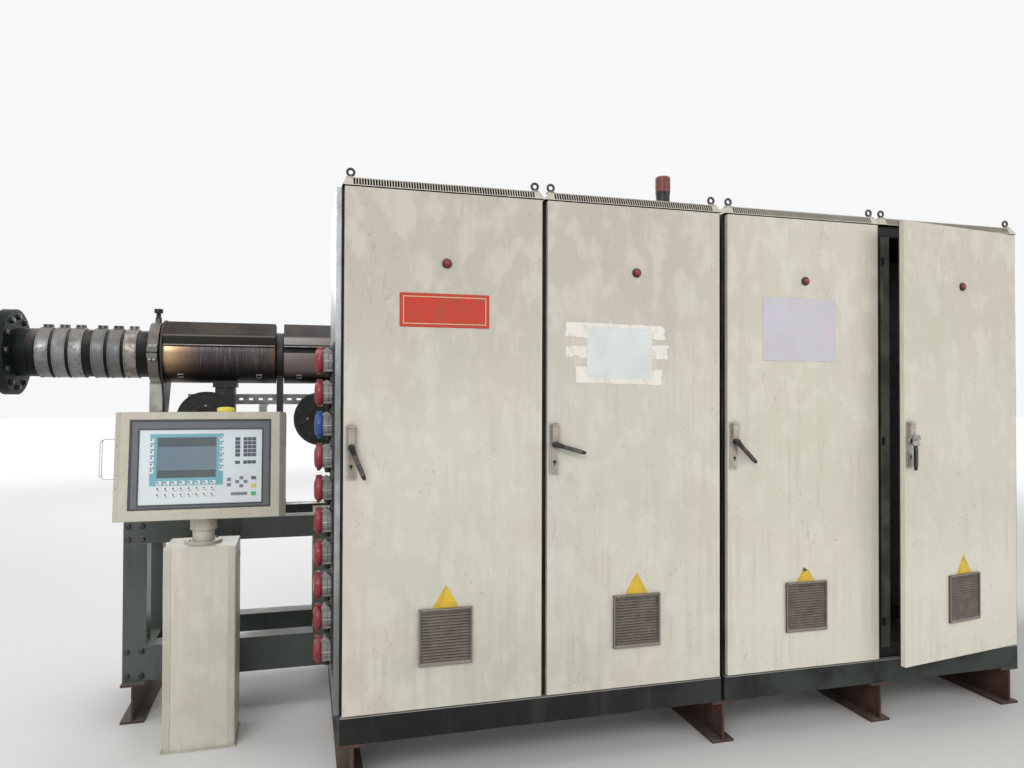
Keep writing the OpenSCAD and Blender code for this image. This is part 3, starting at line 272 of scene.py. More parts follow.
def finish(name, s):  # a base colour, then colours laid over it through masks, each with its own roughness
    material = bpy.data.materials.new(name)
    material.use_nodes = True
    tree = material.node_tree
    surface = tree.nodes["Principled BSDF"]
    place = addNode(tree, "ShaderNodeTexCoord").outputs["Object"]
    places = {"object": place}
    if any(len(mask) > 2 for layer in s["layers"] for mask in layer["masks"]):
        places["uv"] = addNode(tree, "ShaderNodeUVMap", uv_map="along").outputs[0]
    colour, rough, metal = (*s["colour"], 1), s["rough"], s.get("metal", 0.0)
    for layer in s["layers"]:
        mask = maskOf(tree, places, layer)
        colour = addNode(tree, "ShaderNodeMix", {0: mask, 6: colour, 7: (*layer["colour"], 1)},
                         data_type="RGBA").outputs[2]
        if layer["rough"] is not None:
            rough = addNode(tree, "ShaderNodeMix", {0: mask, 2: rough, 3: layer["rough"]}).outputs[0]
        if layer["metal"] is not None:
            metal = addNode(tree, "ShaderNodeMix", {0: mask, 2: metal, 3: layer["metal"]}).outputs[0]
    feed(tree, surface.inputs["Base Color"], colour)
    feed(tree, surface.inputs["Roughness"], rough)
    feed(tree, surface.inputs["Metallic"], metal)
    surface.inputs["Specular IOR Level"].default_value = s.get("shine", 0.5)
    fine = addNode(tree, "ShaderNodeGroup", {"Vector": place}, node_tree=groups["grain"])
    for key, value in s["grain"].items():
        fine.inputs[key].default_value = value
    tree.links.new(fine.outputs["Normal"], surface.inputs["Normal"])
    return material


def coat(masks, colour, amount, rough=None, metal=None):  # one layer, laid where all its masks are
    return {"masks": masks, "colour": colour, "amount": amount, "rough": rough, "metal": metal}


def grain(scale, strength, depth, edge, stretch=(1, 1, 1)):
    return {"Scale": scale, "Strength": strength, "Depth": depth, "Edge": edge, "Stretch": stretch}


def clouds(scale, low, high, stretch=(1, 1, 1), detail=4.0, shift=(0, 0, 0)):
    return ("clouds", {"Scale": scale, "Low": low, "High": high, "Stretch": stretch, "Detail": detail,
                       "Shift": shift})


def cracks(scale, level, wide, stretch=(1, 1, 1), shift=(0, 0, 0)):  # thin lines where a noise passes level
    return [clouds(scale, level - wide, level, stretch, 7.0, shift),
            clouds(scale, level + 2 * wide, level + wide, stretch, 7.0, shift)]


def rub(radius=0.003, scale=30.0, low=0.42, high=0.62):
    return ("rub", {"Radius": radius, "Scale": scale, "Low": low, "High": high})


def dust(scale=9.0, thin=0.35):
    return ("dust", {"Scale": scale, "Thin": thin})


# corners and recesses darkened: painted shade, with dirt
def shadeAndGrime(reach=0.03, scale=14.0):
    return ("shadeAndGrime", {"Reach": reach, "Scale": scale})


def span(along, low, high, soft=0.02, ruffle=0.0, scale=8.0):
    return ("span", {"Along": along, "From": low, "To": high, "Soft": soft, "Ruffle": ruffle, "Scale": scale})


def lane(low, high, soft=0.02, ruffle=0.0):  # between two places along a part, in its own UV
    return (*span((1, 0, 0), low, high, soft, ruffle), "uv")


def only(first, last=None):  # these parts of a row alone, in their own UV
    return (*span((0, 1, 0), first - 0.4, (first if last is None else last) + 0.4, 0.05), "uv")


upward = (0, 0, 1)
finishes = {
    "doorCream": {
        "colour": (0.63, 0.595, 0.515), "rough": 0.40, "grain": grain(420.0, 0.10, 0.0004, 0.0012),
        "layers": [
            coat([clouds(1.6, 0.44, 0.60)], (0.56, 0.56, 0.465), 0.8),  # greenish patches
            coat([clouds(2.3, 0.50, 0.66, shift=(5, 0, 2))], (0.60, 0.535, 0.475), 0.8),  # brownish patches
            coat([clouds(9.0, 0.42, 0.75, stretch=(1.6, 1, 0.08), detail=6.0)], (0.55, 0.53, 0.44), 0.45,
                 0.55),
            coat([span(upward, 0.0, 0.42, 0.25, 0.5, 5.0), clouds(6.0, 0.40, 0.66, detail=7.0)],
                 (0.38, 0.37, 0.31), 0.24, 0.65),
            coat([span(upward, 2.1, 2.5, 0.9, 0.3, 2.0)], (0.42, 0.37, 0.31), 0.66),  # painted shade: darker to the top
            coat([span((1, 0, 0), 0.5, 3.0, 0.5)], (0.63, 0.60, 0.47), 0.4),  # yellower to the right
            # painted light: lighter low down and towards the right
            coat([span(upward, 0.0, 0.5, 0.6), span((1, 0, 0), 0.6, 3.0, 1.2)], (0.80, 0.76, 0.66), 0.6),
            coat([*cracks(1.7, 0.500, 0.0012, (1.6, 1, 0.30), (3, 0, 7)),
                 clouds(2.6, 0.44, 0.60, shift=(8, 1, 3))], (0.22, 0.21, 0.17), 0.42),
            coat([*cracks(2.4, 0.470, 0.002, (1.2, 1, 0.22), (6, 2, 1)),
                 clouds(3.1, 0.46, 0.60, shift=(2, 6, 5))], (0.80, 0.77, 0.69), 0.22),
            coat([clouds(11.0, 0.47, 0.62, stretch=(1, 1, 0.6), detail=9.0, shift=(4, 4, 4))],
                 (0.76, 0.73, 0.65), 0.26),
            coat([clouds(34.0, 0.45, 0.68, stretch=(1, 1, 0.04), detail=5.0),
                 clouds(1.9, 0.42, 0.58, shift=(9, 3, 2))], (0.47, 0.44, 0.355), 0.34),
            coat([clouds(60.0, 0.66, 0.72, detail=2.0), clouds(3.0, 0.45, 0.6, shift=(1, 4, 0))],
                 (0.28, 0.26, 0.22), 0.5),
            coat([shadeAndGrime(0.035)], (0.24, 0.23, 0.19), 0.6, 0.7),
            coat([rub(0.0025, 26.0)], (0.20, 0.19, 0.17), 0.7),
        ],
    },
    "primerSteel": {
        "colour": (0.050, 0.024, 0.018), "rough": 0.6, "grain": grain(160.0, 0.35, 0.001, 0.003),
        "layers": [
            coat([clouds(6.0, 0.45, 0.62, detail=8.0)], (0.11, 0.045, 0.022), 0.7, 0.8),
            coat([clouds(40.0, 0.55, 0.68, detail=6.0)], (0.17, 0.065, 0.025), 0.5, 0.85),
            coat([dust(7.0, 0.30)], (0.20, 0.18, 0.155), 0.7, 0.9),
            coat([rub(0.004, 20.0)], (0.16, 0.10, 0.075), 0.6),
        ],
    },
    "darkPaint": {
        "colour": (0.014, 0.015, 0.014), "rough": 0.48, "shine": 0.25,
        "grain": grain(260.0, 0.2, 0.0006, 0.002),
        "layers": [
            coat([clouds(3.0, 0.42, 0.68, detail=6.0)], (0.036, 0.038, 0.034), 0.8, 0.6),
            coat([clouds(12.0, 0.50, 0.70, stretch=(1, 1, 0.15), detail=6.0)], (0.085, 0.08, 0.07), 0.45,
                 0.75),
            coat([dust(6.0, 0.28)], (0.20, 0.19, 0.165), 0.75, 0.9),
            coat([rub(0.003, 24.0)], (0.16, 0.14, 0.12), 0.6),
        ],
    },
    "zincSheet": {
        "colour": (0.42, 0.43, 0.44), "rough": 0.42, "metal": 0.85,
        "grain": grain(240.0, 0.12, 0.0005, 0.001),
        "layers": [
            coat([clouds(24.0, 0.40, 0.62, detail=1.0)], (0.52, 0.53, 0.54), 0.6, 0.34),
            coat([clouds(4.0, 0.45, 0.68, detail=6.0)], (0.28, 0.27, 0.25), 0.6, 0.6, 0.5),
            coat([shadeAndGrime(0.03)], (0.12, 0.11, 0.095), 0.7, 0.8, 0.1),
            coat([dust(9.0, 0.35)], (0.34, 0.32, 0.28), 0.6, 0.9, 0.0),
        ],
    },
    "blackPlastic": {
        "colour": (0.014, 0.014, 0.014), "rough": 0.38, "shine": 0.3,
        "grain": grain(500.0, 0.15, 0.0003, 0.0015),
        "layers": [
            coat([clouds(20.0, 0.45, 0.7, detail=6.0)], (0.05, 0.048, 0.044), 0.6, 0.55),
            coat([rub(0.003, 60.0)], (0.20, 0.19, 0.175), 0.6),
            coat([dust(20.0, 0.35)], (0.22, 0.20, 0.175), 0.6, 0.85),
        ],
    },
    "redPlastic": {
        "colour": (0.42, 0.035, 0.03), "rough": 0.35, "grain": grain(300.0, 0.1, 0.0003, 0.002),
        "layers": [
            coat([clouds(18.0, 0.42, 0.7, detail=6.0)], (0.25, 0.05, 0.042), 0.6, 0.6),
            coat([dust(16.0, 0.35)], (0.36, 0.24, 0.20), 0.6, 0.85),
        ],
    },
    "greyPlastic": {
        "colour": (0.32, 0.32, 0.29), "rough": 0.5, "grain": grain(400.0, 0.15, 0.0003, 0.002),
        "layers": [
            coat([clouds(10.0, 0.42, 0.7, detail=6.0)], (0.17, 0.165, 0.145), 0.7, 0.7),
            coat([shadeAndGrime(0.02, 20.0)], (0.06, 0.055, 0.045), 0.7, 0.8),
            coat([dust(14.0, 0.33)], (0.38, 0.355, 0.31), 0.6, 0.9),
        ],
    },
    "brownPlastic": {
        "colour": (0.135, 0.105, 0.085), "rough": 0.5, "grain": grain(400.0, 0.15, 0.0003, 0.0006),
        "layers": [
            coat([clouds(14.0, 0.40, 0.7, detail=6.0)], (0.11, 0.09, 0.075), 0.6, 0.7),
            coat([dust(24.0, 0.2)], (0.30, 0.265, 0.225), 0.7, 0.9),
            coat([shadeAndGrime(0.012, 30.0)], (0.022, 0.016, 0.012), 0.95),
        ],
    },
    "machinePaint": {
        "colour": (0.075, 0.095, 0.085), "rough": 0.4, "grain": grain(260.0, 0.2, 0.0006, 0.003),
        "layers": [
            coat([clouds(2.6, 0.42, 0.66, detail=7.0)], (0.045, 0.055, 0.05), 0.8, 0.3),
            coat([clouds(16.0, 0.52, 0.7, stretch=(1, 1, 0.12), detail=6.0)], (0.03, 0.028, 0.022), 0.6,
                 0.25),
            coat([dust(6.0, 0.3)], (0.24, 0.225, 0.19), 0.7, 0.9),
            coat([rub(0.004, 22.0)], (0.30, 0.29, 0.27), 0.5),
        ],
    },
    "brownedSteel": {
        "colour": (0.085, 0.070, 0.062), "rough": 0.38, "metal": 0.75, "shine": 0.3,
        "grain": grain(140.0, 0.2, 0.0006, 0.001, (1.0, 0.05, 0.05)),
        "layers": [
            coat([clouds(60.0, 0.40, 0.70, stretch=(1, 0.03, 0.03))], (0.15, 0.13, 0.12), 0.6, 0.3),
            coat([clouds(5.0, 0.45, 0.66, detail=6.0)], (0.055, 0.040, 0.034), 0.6, 0.55),
            coat([dust(9.0, 0.4)], (0.25, 0.22, 0.19), 0.5, 0.85, 0.2),
        ],
    },
    "bandSteel": {
        "colour": (0.30, 0.30, 0.30), "rough": 0.42, "metal": 0.7, "grain": grain(130.0, 0.25, 0.0008, 0.001),
        "layers": [
            coat([clouds(12.0, 0.42, 0.62, detail=7.0)], (0.20, 0.195, 0.19), 0.8, 0.6, 0.4),
            coat([clouds(30.0, 0.55, 0.68, detail=4.0)], (0.40, 0.39, 0.37), 0.6, 0.35),
            coat([dust(14.0, 0.33)], (0.34, 0.33, 0.31), 0.6, 0.9, 0.1),
        ],
    },
    "supportSteel": {
        "colour": (0.40, 0.40, 0.375), "rough": 0.45, "metal": 0.45,
        "grain": grain(150.0, 0.2, 0.0006, 0.002),
        "layers": [
            coat([clouds(7.0, 0.44, 0.66, detail=7.0)], (0.19, 0.17, 0.145), 0.7, 0.6),
            coat([shadeAndGrime(0.03)], (0.07, 0.06, 0.05), 0.6, 0.7),
            coat([rub(0.003)], (0.50, 0.49, 0.46), 0.5),
        ],
    },
    "motorPaint": {
        "colour": (0.085, 0.125, 0.145), "rough": 0.42, "grain": grain(120.0, 0.3, 0.001, 0.003),
        "layers": [
            coat([clouds(4.0, 0.42, 0.68, detail=7.0)], (0.055, 0.085, 0.10), 0.8, 0.55),
            coat([dust(8.0, 0.28)], (0.26, 0.25, 0.22), 0.75, 0.9),
            coat([rub(0.004, 24.0)], (0.28, 0.28, 0.27), 0.4),
        ],
    },
    "guardPaint": {
        "colour": (0.60, 0.40, 0.035), "rough": 0.42, "grain": grain(220.0, 0.15, 0.0005, 0.002),
        "layers": [
            coat([clouds(5.0, 0.44, 0.7, detail=7.0)], (0.42, 0.28, 0.04), 0.7, 0.6),
            coat([dust(8.0, 0.3)], (0.36, 0.30, 0.20), 0.7, 0.9),
            coat([rub(0.004, 20.0)], (0.13, 0.10, 0.07), 0.6),
        ],
    },
    "bezelGrey": {
        "colour": (0.125, 0.135, 0.150), "rough": 0.5, "grain": grain(500.0, 0.1, 0.0002, 0.002),
        "layers": [
            coat([clouds(12.0, 0.44, 0.7, detail=6.0)], (0.12, 0.115, 0.11), 0.6),
            coat([shadeAndGrime(0.02)], (0.06, 0.058, 0.055), 0.5),
        ],
    },
    "panelFilm": {
        "colour": (0.70, 0.765, 0.78), "rough": 0.3, "grain": grain(600.0, 0.08, 0.0002, 0.0005),
        "layers": [
            coat([clouds(8.0, 0.42, 0.7, detail=6.0)], (0.60, 0.64, 0.63), 0.5, 0.45),
        ],
    },
    "screenGlass": {
        "colour": (0.155, 0.215, 0.265), "rough": 0.16, "grain": grain(30.0, 0.02, 0.0002, 0.0003),
        "layers": [
            coat([clouds(5.0, 0.40, 0.7, detail=3.0)], (0.20, 0.25, 0.28), 0.7, 0.28),
        ],
    },
    "brightChrome": {
        "colour": (0.72, 0.72, 0.73), "rough": 0.14, "metal": 1.0, "grain": grain(90.0, 0.05, 0.0003, 0.0005),
        "layers": [
            coat([clouds(40.0, 0.50, 0.7, detail=5.0)], (0.52, 0.51, 0.49), 0.6, 0.35),
        ],
    },
    "yellowPlastic": {
        "colour": (0.82, 0.70, 0.08), "rough": 0.35, "grain": grain(300.0, 0.1, 0.0003, 0.002),
        "layers": [
            coat([clouds(22.0, 0.44, 0.7, detail=6.0)], (0.52, 0.43, 0.06), 0.6, 0.55),
        ],
    },
}


def like(name, colour, rough=None, metal=None, layers=(), drop=(), shine=None):  # a finish in a new colour
    base = finishes[name]
    ratio = [new / old for new, old in zip(colour, base["colour"])]
    kept = []
    for k, layer in enumerate(base["layers"]):
        if k in drop:
            continue
        if all(mask[0] == "clouds" for mask in layer["masks"]):  # plain patches shift with the colour
            layer = {**layer, "colour": tuple(c * r for c, r in zip(layer["colour"], ratio))}
        kept.append(layer)
    return {"colour": colour, "rough": base["rough"] if rough is None else rough,
            "metal": base.get("metal", 0.0) if metal is None else metal, "grain": base["grain"],
            "shine": base.get("shine", 0.5) if shine is None else shine, "layers": [*kept, *layers],
            "family": base.get("family", name)}


def slotOf(name):  # the record's slot of a finish, from its family's name
    family = finishes[name].get("family", name)
    if family == "doorCream":
        return "cream_paint"
    return "".join("_" + c.lower() if c.isupper() else c for c in family)


slotFinish = {slotOf(name): name for name in finishes}
slotFinish["black_paint"] = "blackPlastic"
knee, lipZ = 1.766, 1.720  # heights of a zone lid's upper bend and lower edge
finishes.update({
    "lampRed": like("redPlastic", (0.26, 0.010, 0.012), 0.22),
    "beaconRed": like("redPlastic", (0.20, 0.040, 0.034), 0.3),
    "lidRed": like("redPlastic", (0.30, 0.018, 0.028), 0.25),
    "lidBlue": like("redPlastic", (0.025, 0.075, 0.26), 0.25),
    "grilleEdge": like("brownPlastic", (0.25, 0.215, 0.18), 0.45),
    "boltSteel": like("zincSheet", (0.36, 0.35, 0.33), 0.38),
    "boltDark": like("brownedSteel", (0.060, 0.054, 0.048), 0.45),
    "sillGrey": like("zincSheet", (0.30, 0.295, 0.28), 0.5, 0.4),
    "tornFilm": like("blackPlastic", (0.050, 0.044, 0.036), 0.5),
    "signYellow": like("yellowPlastic", (0.72, 0.47, 0.035), 0.45, 0.0, layers=[
        coat([clouds(45.0, 0.60, 0.66, detail=6.0)], (0.20, 0.15, 0.06), 0.7)]),
    "rubberBlack": like("blackPlastic", (0.012, 0.012, 0.012), 0.75),
    "latchSteel": like("supportSteel", (0.42, 0.37, 0.31), 0.38, 0.5),
    "leverBlack": like("blackPlastic", (0.012, 0.012, 0.012), 0.30),
    "leverRib": like("blackPlastic", (0.11, 0.11, 0.105), 0.35),
    "greyFoil": like("zincSheet", (0.30, 0.30, 0.30), 0.5, 0.45),
    "plateRed": like("redPlastic", (0.52, 0.040, 0.018), 0.24),
    "plateLine": like("redPlastic", (0.76, 0.56, 0.36), 0.4),
    "sheetBlue": like("panelFilm", (0.66, 0.70, 0.68), 0.5),
    "tapeWhite": like("panelFilm", (0.78, 0.745, 0.68), 0.32, layers=[
        coat(cracks(9.0, 0.50, 0.012, (1, 1, 0.6)), (0.46, 0.42, 0.36), 0.4)]),
    "paperLilac": like("panelFilm", (0.54, 0.54, 0.58), 0.6, layers=[
        coat([clouds(13.0, 0.46, 0.62, detail=6.0)], (0.60, 0.50, 0.56), 0.55)]),
    "socketGrey": like("greyPlastic", (0.30, 0.31, 0.29), 0.22),
    # near white for the strips on the socket bodies: painted highlight
    "socketLight": like("greyPlastic", (0.80, 0.80, 0.77), 0.35),
    "endZinc": like("zincSheet", (0.46, 0.485, 0.51), 0.38, 0.75, layers=[
        coat([span(upward, 0.2, 1.5, 0.5, 0.4, 3.0),
             clouds(3.0, 0.38, 0.60, stretch=(1, 1, 0.3), detail=7.0)], (0.09, 0.09, 0.09), 0.75, 0.6, 0.4),
        # painted reflection: a lighter band near the top, in patches
        coat([span(upward, 1.70, 2.26, 0.15, 0.3, 4.0),
             clouds(7.0, 0.50, 0.60, stretch=(1, 1, 0.25), detail=5.0)], (0.66, 0.68, 0.70), 0.8, 0.3)]),
    # black for the sheet behind the sockets: painted shade
    "plateBlack": like("darkPaint", (0.014, 0.014, 0.014), 0.5),
    "postGrey": like("darkPaint", (0.070, 0.070, 0.060), 0.5),
    # black for the blocks under the vent caps: painted shade in the slots
    "slotBlack": like("darkPaint", (0.004, 0.004, 0.004), 0.8, drop=(0, 1, 2, 3), shine=0.1),
    "plinthPaint": like("darkPaint", (0.008, 0.008, 0.008), 0.5, layers=[
        coat([span((1, 0, 0), 0.9, 3.0, 1.6), clouds(4.0, 0.36, 0.60, detail=6.0)], (0.042, 0.052, 0.046),
             0.9)]),
    "flangeGreen": like("darkPaint", (0.004, 0.008, 0.006), 0.5, 0.0, drop=(1, 2), shine=0.12),
    "barrelDark": like("brownedSteel", (0.007, 0.008, 0.007), 0.5, 0.1, shine=0.15),
    "heaterSteel": like("bandSteel", (0.215, 0.22, 0.225), 0.42, 0.75, layers=[
        coat([span(upward, 1.755, 1.82, 0.03, 0.05, 20.0)], (0.17, 0.135, 0.11), 0.6),
        coat([only(6)], (0.255, 0.233, 0.215), 0.9, 0.36),
        coat([only(6), clouds(9.0, 0.52, 0.60, detail=3.0)], (0.15, 0.12, 0.10), 0.8, 0.4),
        coat([only(4, 5)], (0.11, 0.11, 0.11), 0.6, 0.5),
        coat([clouds(55.0, 0.52, 0.62, detail=6.0)], (0.13, 0.12, 0.11), 0.6, 0.6)]),
    "bandBox": like("bandSteel", (0.16, 0.155, 0.15), 0.5, 0.5),
    "zoneLid": like("brownedSteel", (0.018, 0.0125, 0.0085), 0.45, 0.25, drop=(0, 1, 2), shine=0.2, layers=[
        coat([clouds(3.0, 0.42, 0.62, stretch=(1, 2, 2), detail=5.0)], (0.040, 0.031, 0.024), 0.7),
        coat([clouds(90.0, 0.50, 0.72, stretch=(0.03, 1, 1))], (0.085, 0.070, 0.058), 0.4),
        coat([only(1)], (0.034, 0.028, 0.028), 0.9, 0.4),
        coat([span(upward, lipZ + 0.012, knee, 0.003), only(1)], (0.25, 0.24, 0.228), 0.95, 0.34, 0.8),
        coat([span(upward, lipZ, knee - 0.004, 0.006, 0.01), only(0)], (0.009, 0.007, 0.005), 0.9),
        # painted highlight: a light line along the knee
        coat([span(upward, knee - 0.002, knee + 0.003, 0.002)], (0.15, 0.125, 0.10), 0.6, 0.3),
        coat([dust(9.0, 0.45)], (0.12, 0.105, 0.088), 0.35, 0.85, 0.2)]),
    "zoneLip": like("bandSteel", (0.34, 0.33, 0.32), 0.35),
    "zoneCasing": like("brownedSteel", (0.056, 0.047, 0.047), 0.36, 0.6, layers=[
        coat([only(0), lane(-0.02, 0.03, 0.17, 0.05)], (0.34, 0.20, 0.12), 0.9, 0.32),
        coat([only(0), lane(-0.02, 0.012, 0.07, 0.03)], (0.49, 0.35, 0.205), 0.95, 0.28, 0.9),
        coat([lane(0.18, 0.30, 0.10, 0.05)], (0.050, 0.036, 0.048), 0.6),
        coat([lane(0.12, 0.44, 0.06, 0.04), clouds(300.0, 0.54, 0.66, stretch=(1, 0.02, 0.02), detail=2.0)],
             (0.20, 0.19, 0.185), 0.6, 0.3),
        coat([lane(0.505, 0.53, 0.03, 0.02)], (0.17, 0.095, 0.055), 0.5, 0.3),
        # painted shade: darker towards the underside
        coat([span(upward, 1.52, 1.575, 0.075)], (0.007, 0.005, 0.005), 0.85),
        coat([only(1), span(upward, 1.610, 1.70, 0.05, 0.02)], (0.26, 0.21, 0.20), 0.85)]),
    "clampSteel": like("supportSteel", (0.40, 0.40, 0.375), layers=[
        coat([span(upward, 1.57, 1.95, 0.02)], (0.095, 0.083, 0.068), 0.85),
        coat([span((1, 0, 0), -2.1530, 1.0, 0.0005)], (0.030, 0.026, 0.025), 1.0, 0.5, 0.3)]),
    "eyeBrown": like("brownedSteel", (0.075, 0.058, 0.052), 0.6, 0.3),
    "frameCream": like("doorCream", (0.54, 0.51, 0.42), 0.42),
    "bezelDark": like("bezelGrey", (0.050, 0.052, 0.058), 0.45),
    "tealFilm": like("panelFilm", (0.17, 0.42, 0.49), 0.35),
    "screenDim": like("screenGlass", (0.085, 0.105, 0.115), 0.2),
    "keyWhite": like("panelFilm", (0.74, 0.76, 0.77), 0.4),
    "keyDark": like("panelFilm", (0.085, 0.10, 0.14), 0.4),
    "keyGrey": like("panelFilm", (0.20, 0.21, 0.24), 0.4),
    "keyYellow": like("yellowPlastic", (0.74, 0.60, 0.05), 0.4),
    "keyGreen": like("panelFilm", (0.05, 0.46, 0.16), 0.4),
    "keyInk": like("blackPlastic", (0.035, 0.03, 0.03), 0.5),
    "coreBlack": like("brownedSteel", (0.008, 0.007, 0.007), 0.6, 0.2),
})

materials = {name: finish(name, settings) for name, settings in finishes.items()}
print("finishes ready,", len(materials))

nodeFinish = {"plinth_frames": "plinthPaint", "outlet_flange": "flangeGreen", "barrel": "barrelDark",
              "end_panels": "endZinc", "barrel_supports": "clampSteel", "console_box": "frameCream",
              "lifting_eyes": "eyeBrown"}
for part in frame["record"]["subparts"]:
    skins = nodes[part["node"]].data.materials
    skins.clear()
    skins.append(materials[nodeFinish.get(part["node"], slotFinish[part["material_slot"]])])
print("packed pieces dressed")


# Shapes: points and faces, put together with numpy
def joined(*shapes):
    points, faces, start = [], [], 0
    for corners, sides in shapes:
        points.append(corners)
        faces += [tuple(int(i) + start for i in face) for face in sides]
        start += len(corners)
    return np.concatenate(points), faces


def moved(made, by):
    return made[0] + np.array(by, float), made[1]


def facing(made, place=(0, 0, 0), along=(0, 0, 1), spin=0.0):  # local Z turned to a direction, then moved
    z = np.array(along, float) / np.linalg.norm(along)
    side = np.cross((0.0, 0.0, 1.0), z)
    x = side / np.linalg.norm(side) if np.linalg.norm(side) > 1e-6 else np.array((1.0, 0.0, 0.0))
    x = x * math.cos(spin) + np.cross(z, x) * math.sin(spin)
    return made[0] @ np.array((x, np.cross(z, x), z)) + np.array(place, float), made[1]


def copies(made, places, along=(0, 0, 1), spin=0.0):
    return joined(*[facing(made, place, along, spin) for place in places])


def loft(rings, closed=False):  # rings of equal count joined in order, with flat ends or end to start
    count, rows = len(rings[0]), len(rings)
    faces = [(k * count + i, k * count + (i + 1) % count, (k + 1) % rows * count + (i + 1) % count,
              (k + 1) % rows * count + i) for k in range(rows - (not closed)) for i in range(count)]
    if not closed:
        faces += [tuple(range(count - 1, -1, -1)), tuple((rows - 1) * count + i for i in range(count))]
    return np.concatenate([np.asarray(ring, float) for ring in rings]), faces


def inset(outline, by):  # an anticlockwise outline drawn in on every side, along the sum of its two normals
    p = np.asarray(outline, float)
    before, after = p - np.roll(p, 1, 0), np.roll(p, -1, 0) - p
    n1 = np.stack((-before[:, 1], before[:, 0]), 1) / np.linalg.norm(before, axis=1)[:, None]
    n2 = np.stack((-after[:, 1], after[:, 0]), 1) / np.linalg.norm(after, axis=1)[:, None]
    return p + by * (n1 + n2) / (1 + (n1 * n2).sum(1))[:, None]


def level(outline, z):
    return np.column_stack((outline, np.full(len(outline), z)))


def prism(outline, depth, chamfer=0.0, both=False):  # an outline raised from 0 to depth, far edge chamfered
    rings = [level(inset(outline, chamfer), 0.0)] if both and chamfer else []
    rings.append(level(outline, chamfer if both else 0.0))
    rings.append(level(outline, depth - chamfer))
    if chamfer:
        rings.append(level(inset(outline, chamfer), depth))
    return loft(rings)


def circle(radius, sides=48):
    turn = np.arange(sides) * 2 * math.pi / sides
    return np.column_stack((radius * np.cos(turn), radius * np.sin(turn)))


def arc(radius, start, end, steps):  # points on a circle, angles in degrees
    turn = np.radians(np.linspace(start, end, steps))
    return np.column_stack((radius * np.cos(turn), radius * np.sin(turn)))


def roundRect(width, height, radius, steps=4, middle=(0.0, 0.0)):
    corners = []
    for k, (sx, sy) in enumerate(((1, 1), (-1, 1), (-1, -1), (1, -1))):
        turn = (k + np.linspace(0, 1, steps + 1)) * math.pi / 2
        corners.append(np.column_stack((sx * (width / 2 - radius) + radius * np.cos(turn),
                                        sy * (height / 2 - radius) + radius * np.sin(turn))))
    return np.concatenate(corners) + middle


def rect(low, high):
    return np.array(((low[0], low[1]), (high[0], low[1]), (high[0], high[1]), (low[0], high[1])), float)


def box(low, high, chamfer=0.001):  # a block between two corners
    return moved(prism(rect(low, high), high[2] - low[2], chamfer, True), (0, 0, low[2]))


def lathe(profile, sides=64, closed=False):  # radius and height pairs turned about Z
    return loft([level(circle(max(r, 0.0002), sides), z) for r, z in profile], closed)


def turned(profile, place, along, sides=64):  # the same about an axis in any direction
    return facing(lathe(profile, sides), place, along)


def tube(path, radius, sides=12):  # a round rod along points, its ring carried from one point to the next
    path = np.asarray(path, float)
    way = np.gradient(path, axis=0)
    way /= np.linalg.norm(way, axis=1)[:, None]
    across = np.cross(way[0], (0.31, 0.62, 0.72))  # any direction that no rod here runs along
    ring = circle(radius, sides)
    rings = []
    for point, ahead in zip(path, way):
        across = across - ahead * (across @ ahead)
        across /= np.linalg.norm(across)
        rings.append(point + ring[:, :1] * across + ring[:, 1:] * np.cross(ahead, across))
    return loft(rings)


def softened(corners, radii, steps=4):  # an outline with each corner rounded by a quadratic curve
    p, t = np.asarray(corners, float), np.linspace(0, 1, steps + 1)[:, None, None]
    back, ahead = np.roll(p, 1, 0) - p, np.roll(p, -1, 0) - p
    backLong, aheadLong = np.linalg.norm(back, axis=1), np.linalg.norm(ahead, axis=1)
    back, ahead = back / backLong[:, None], ahead / aheadLong[:, None]
    half = np.arccos(np.clip((back * ahead).sum(1), -1, 1)) / 2
    cut = np.minimum(np.broadcast_to(radii, len(p)) / np.tan(half),
                     0.45 * np.minimum(backLong, aheadLong))[:, None]
    curve = (1 - t) ** 2 * (p + back * cut) + 2 * t * (1 - t) * p + t ** 2 * (p + ahead * cut)
    return curve.transpose(1, 0, 2).reshape(-1, 2)


def carriedX(outline, length, chamfer=0.0):  # an outline in Y and Z carried along X from 0
    made = prism(outline, length, chamfer, True)
    return made[0][:, (2, 0, 1)], made[1]


def ringPlate(outer, inner, depth, chamfer=0.001):  # a flat frame between two outlines of as many points each
    return loft([level(outer, 0), level(outer, depth - chamfer), level(inset(outer, chamfer), depth),
                 level(inset(inner, -chamfer), depth), level(inner, depth - chamfer), level(inner, 0)], True)


def hexBolt(size):  # washer and head on Z = 0, size is the thread; the other sizes are shares of it
    washer = lathe([(size * 1.1, 0.0), (size * 1.1, size * 0.16), (size * 1.04, size * 0.2),
                    (0, size * 0.2)], 24)
    head = prism(circle(size * 0.98, 6), size * 0.68, size * 0.1)
    return joined(washer, moved(head, (0, 0, size * 0.2)))


def capScrew(size):  # round head with a socket, on Z = 0
    return lathe([(size * 0.88, 0.0), (size * 0.88, size * 0.85), (size * 0.78, size), (size * 0.5, size),
                  (size * 0.45, size * 0.5), (0, size * 0.45)], 20)


def panScrew(size):  # low round head, on Z = 0
    return lathe([(size, 0.0), (size * 0.95, size * 0.25), (size * 0.7, size * 0.5), (0, size * 0.6)], 16)


made = []
front, rear, leftward, rightward = (0, -1, 0), (0, 1, 0), (-1, 0, 0), (1, 0, 0)


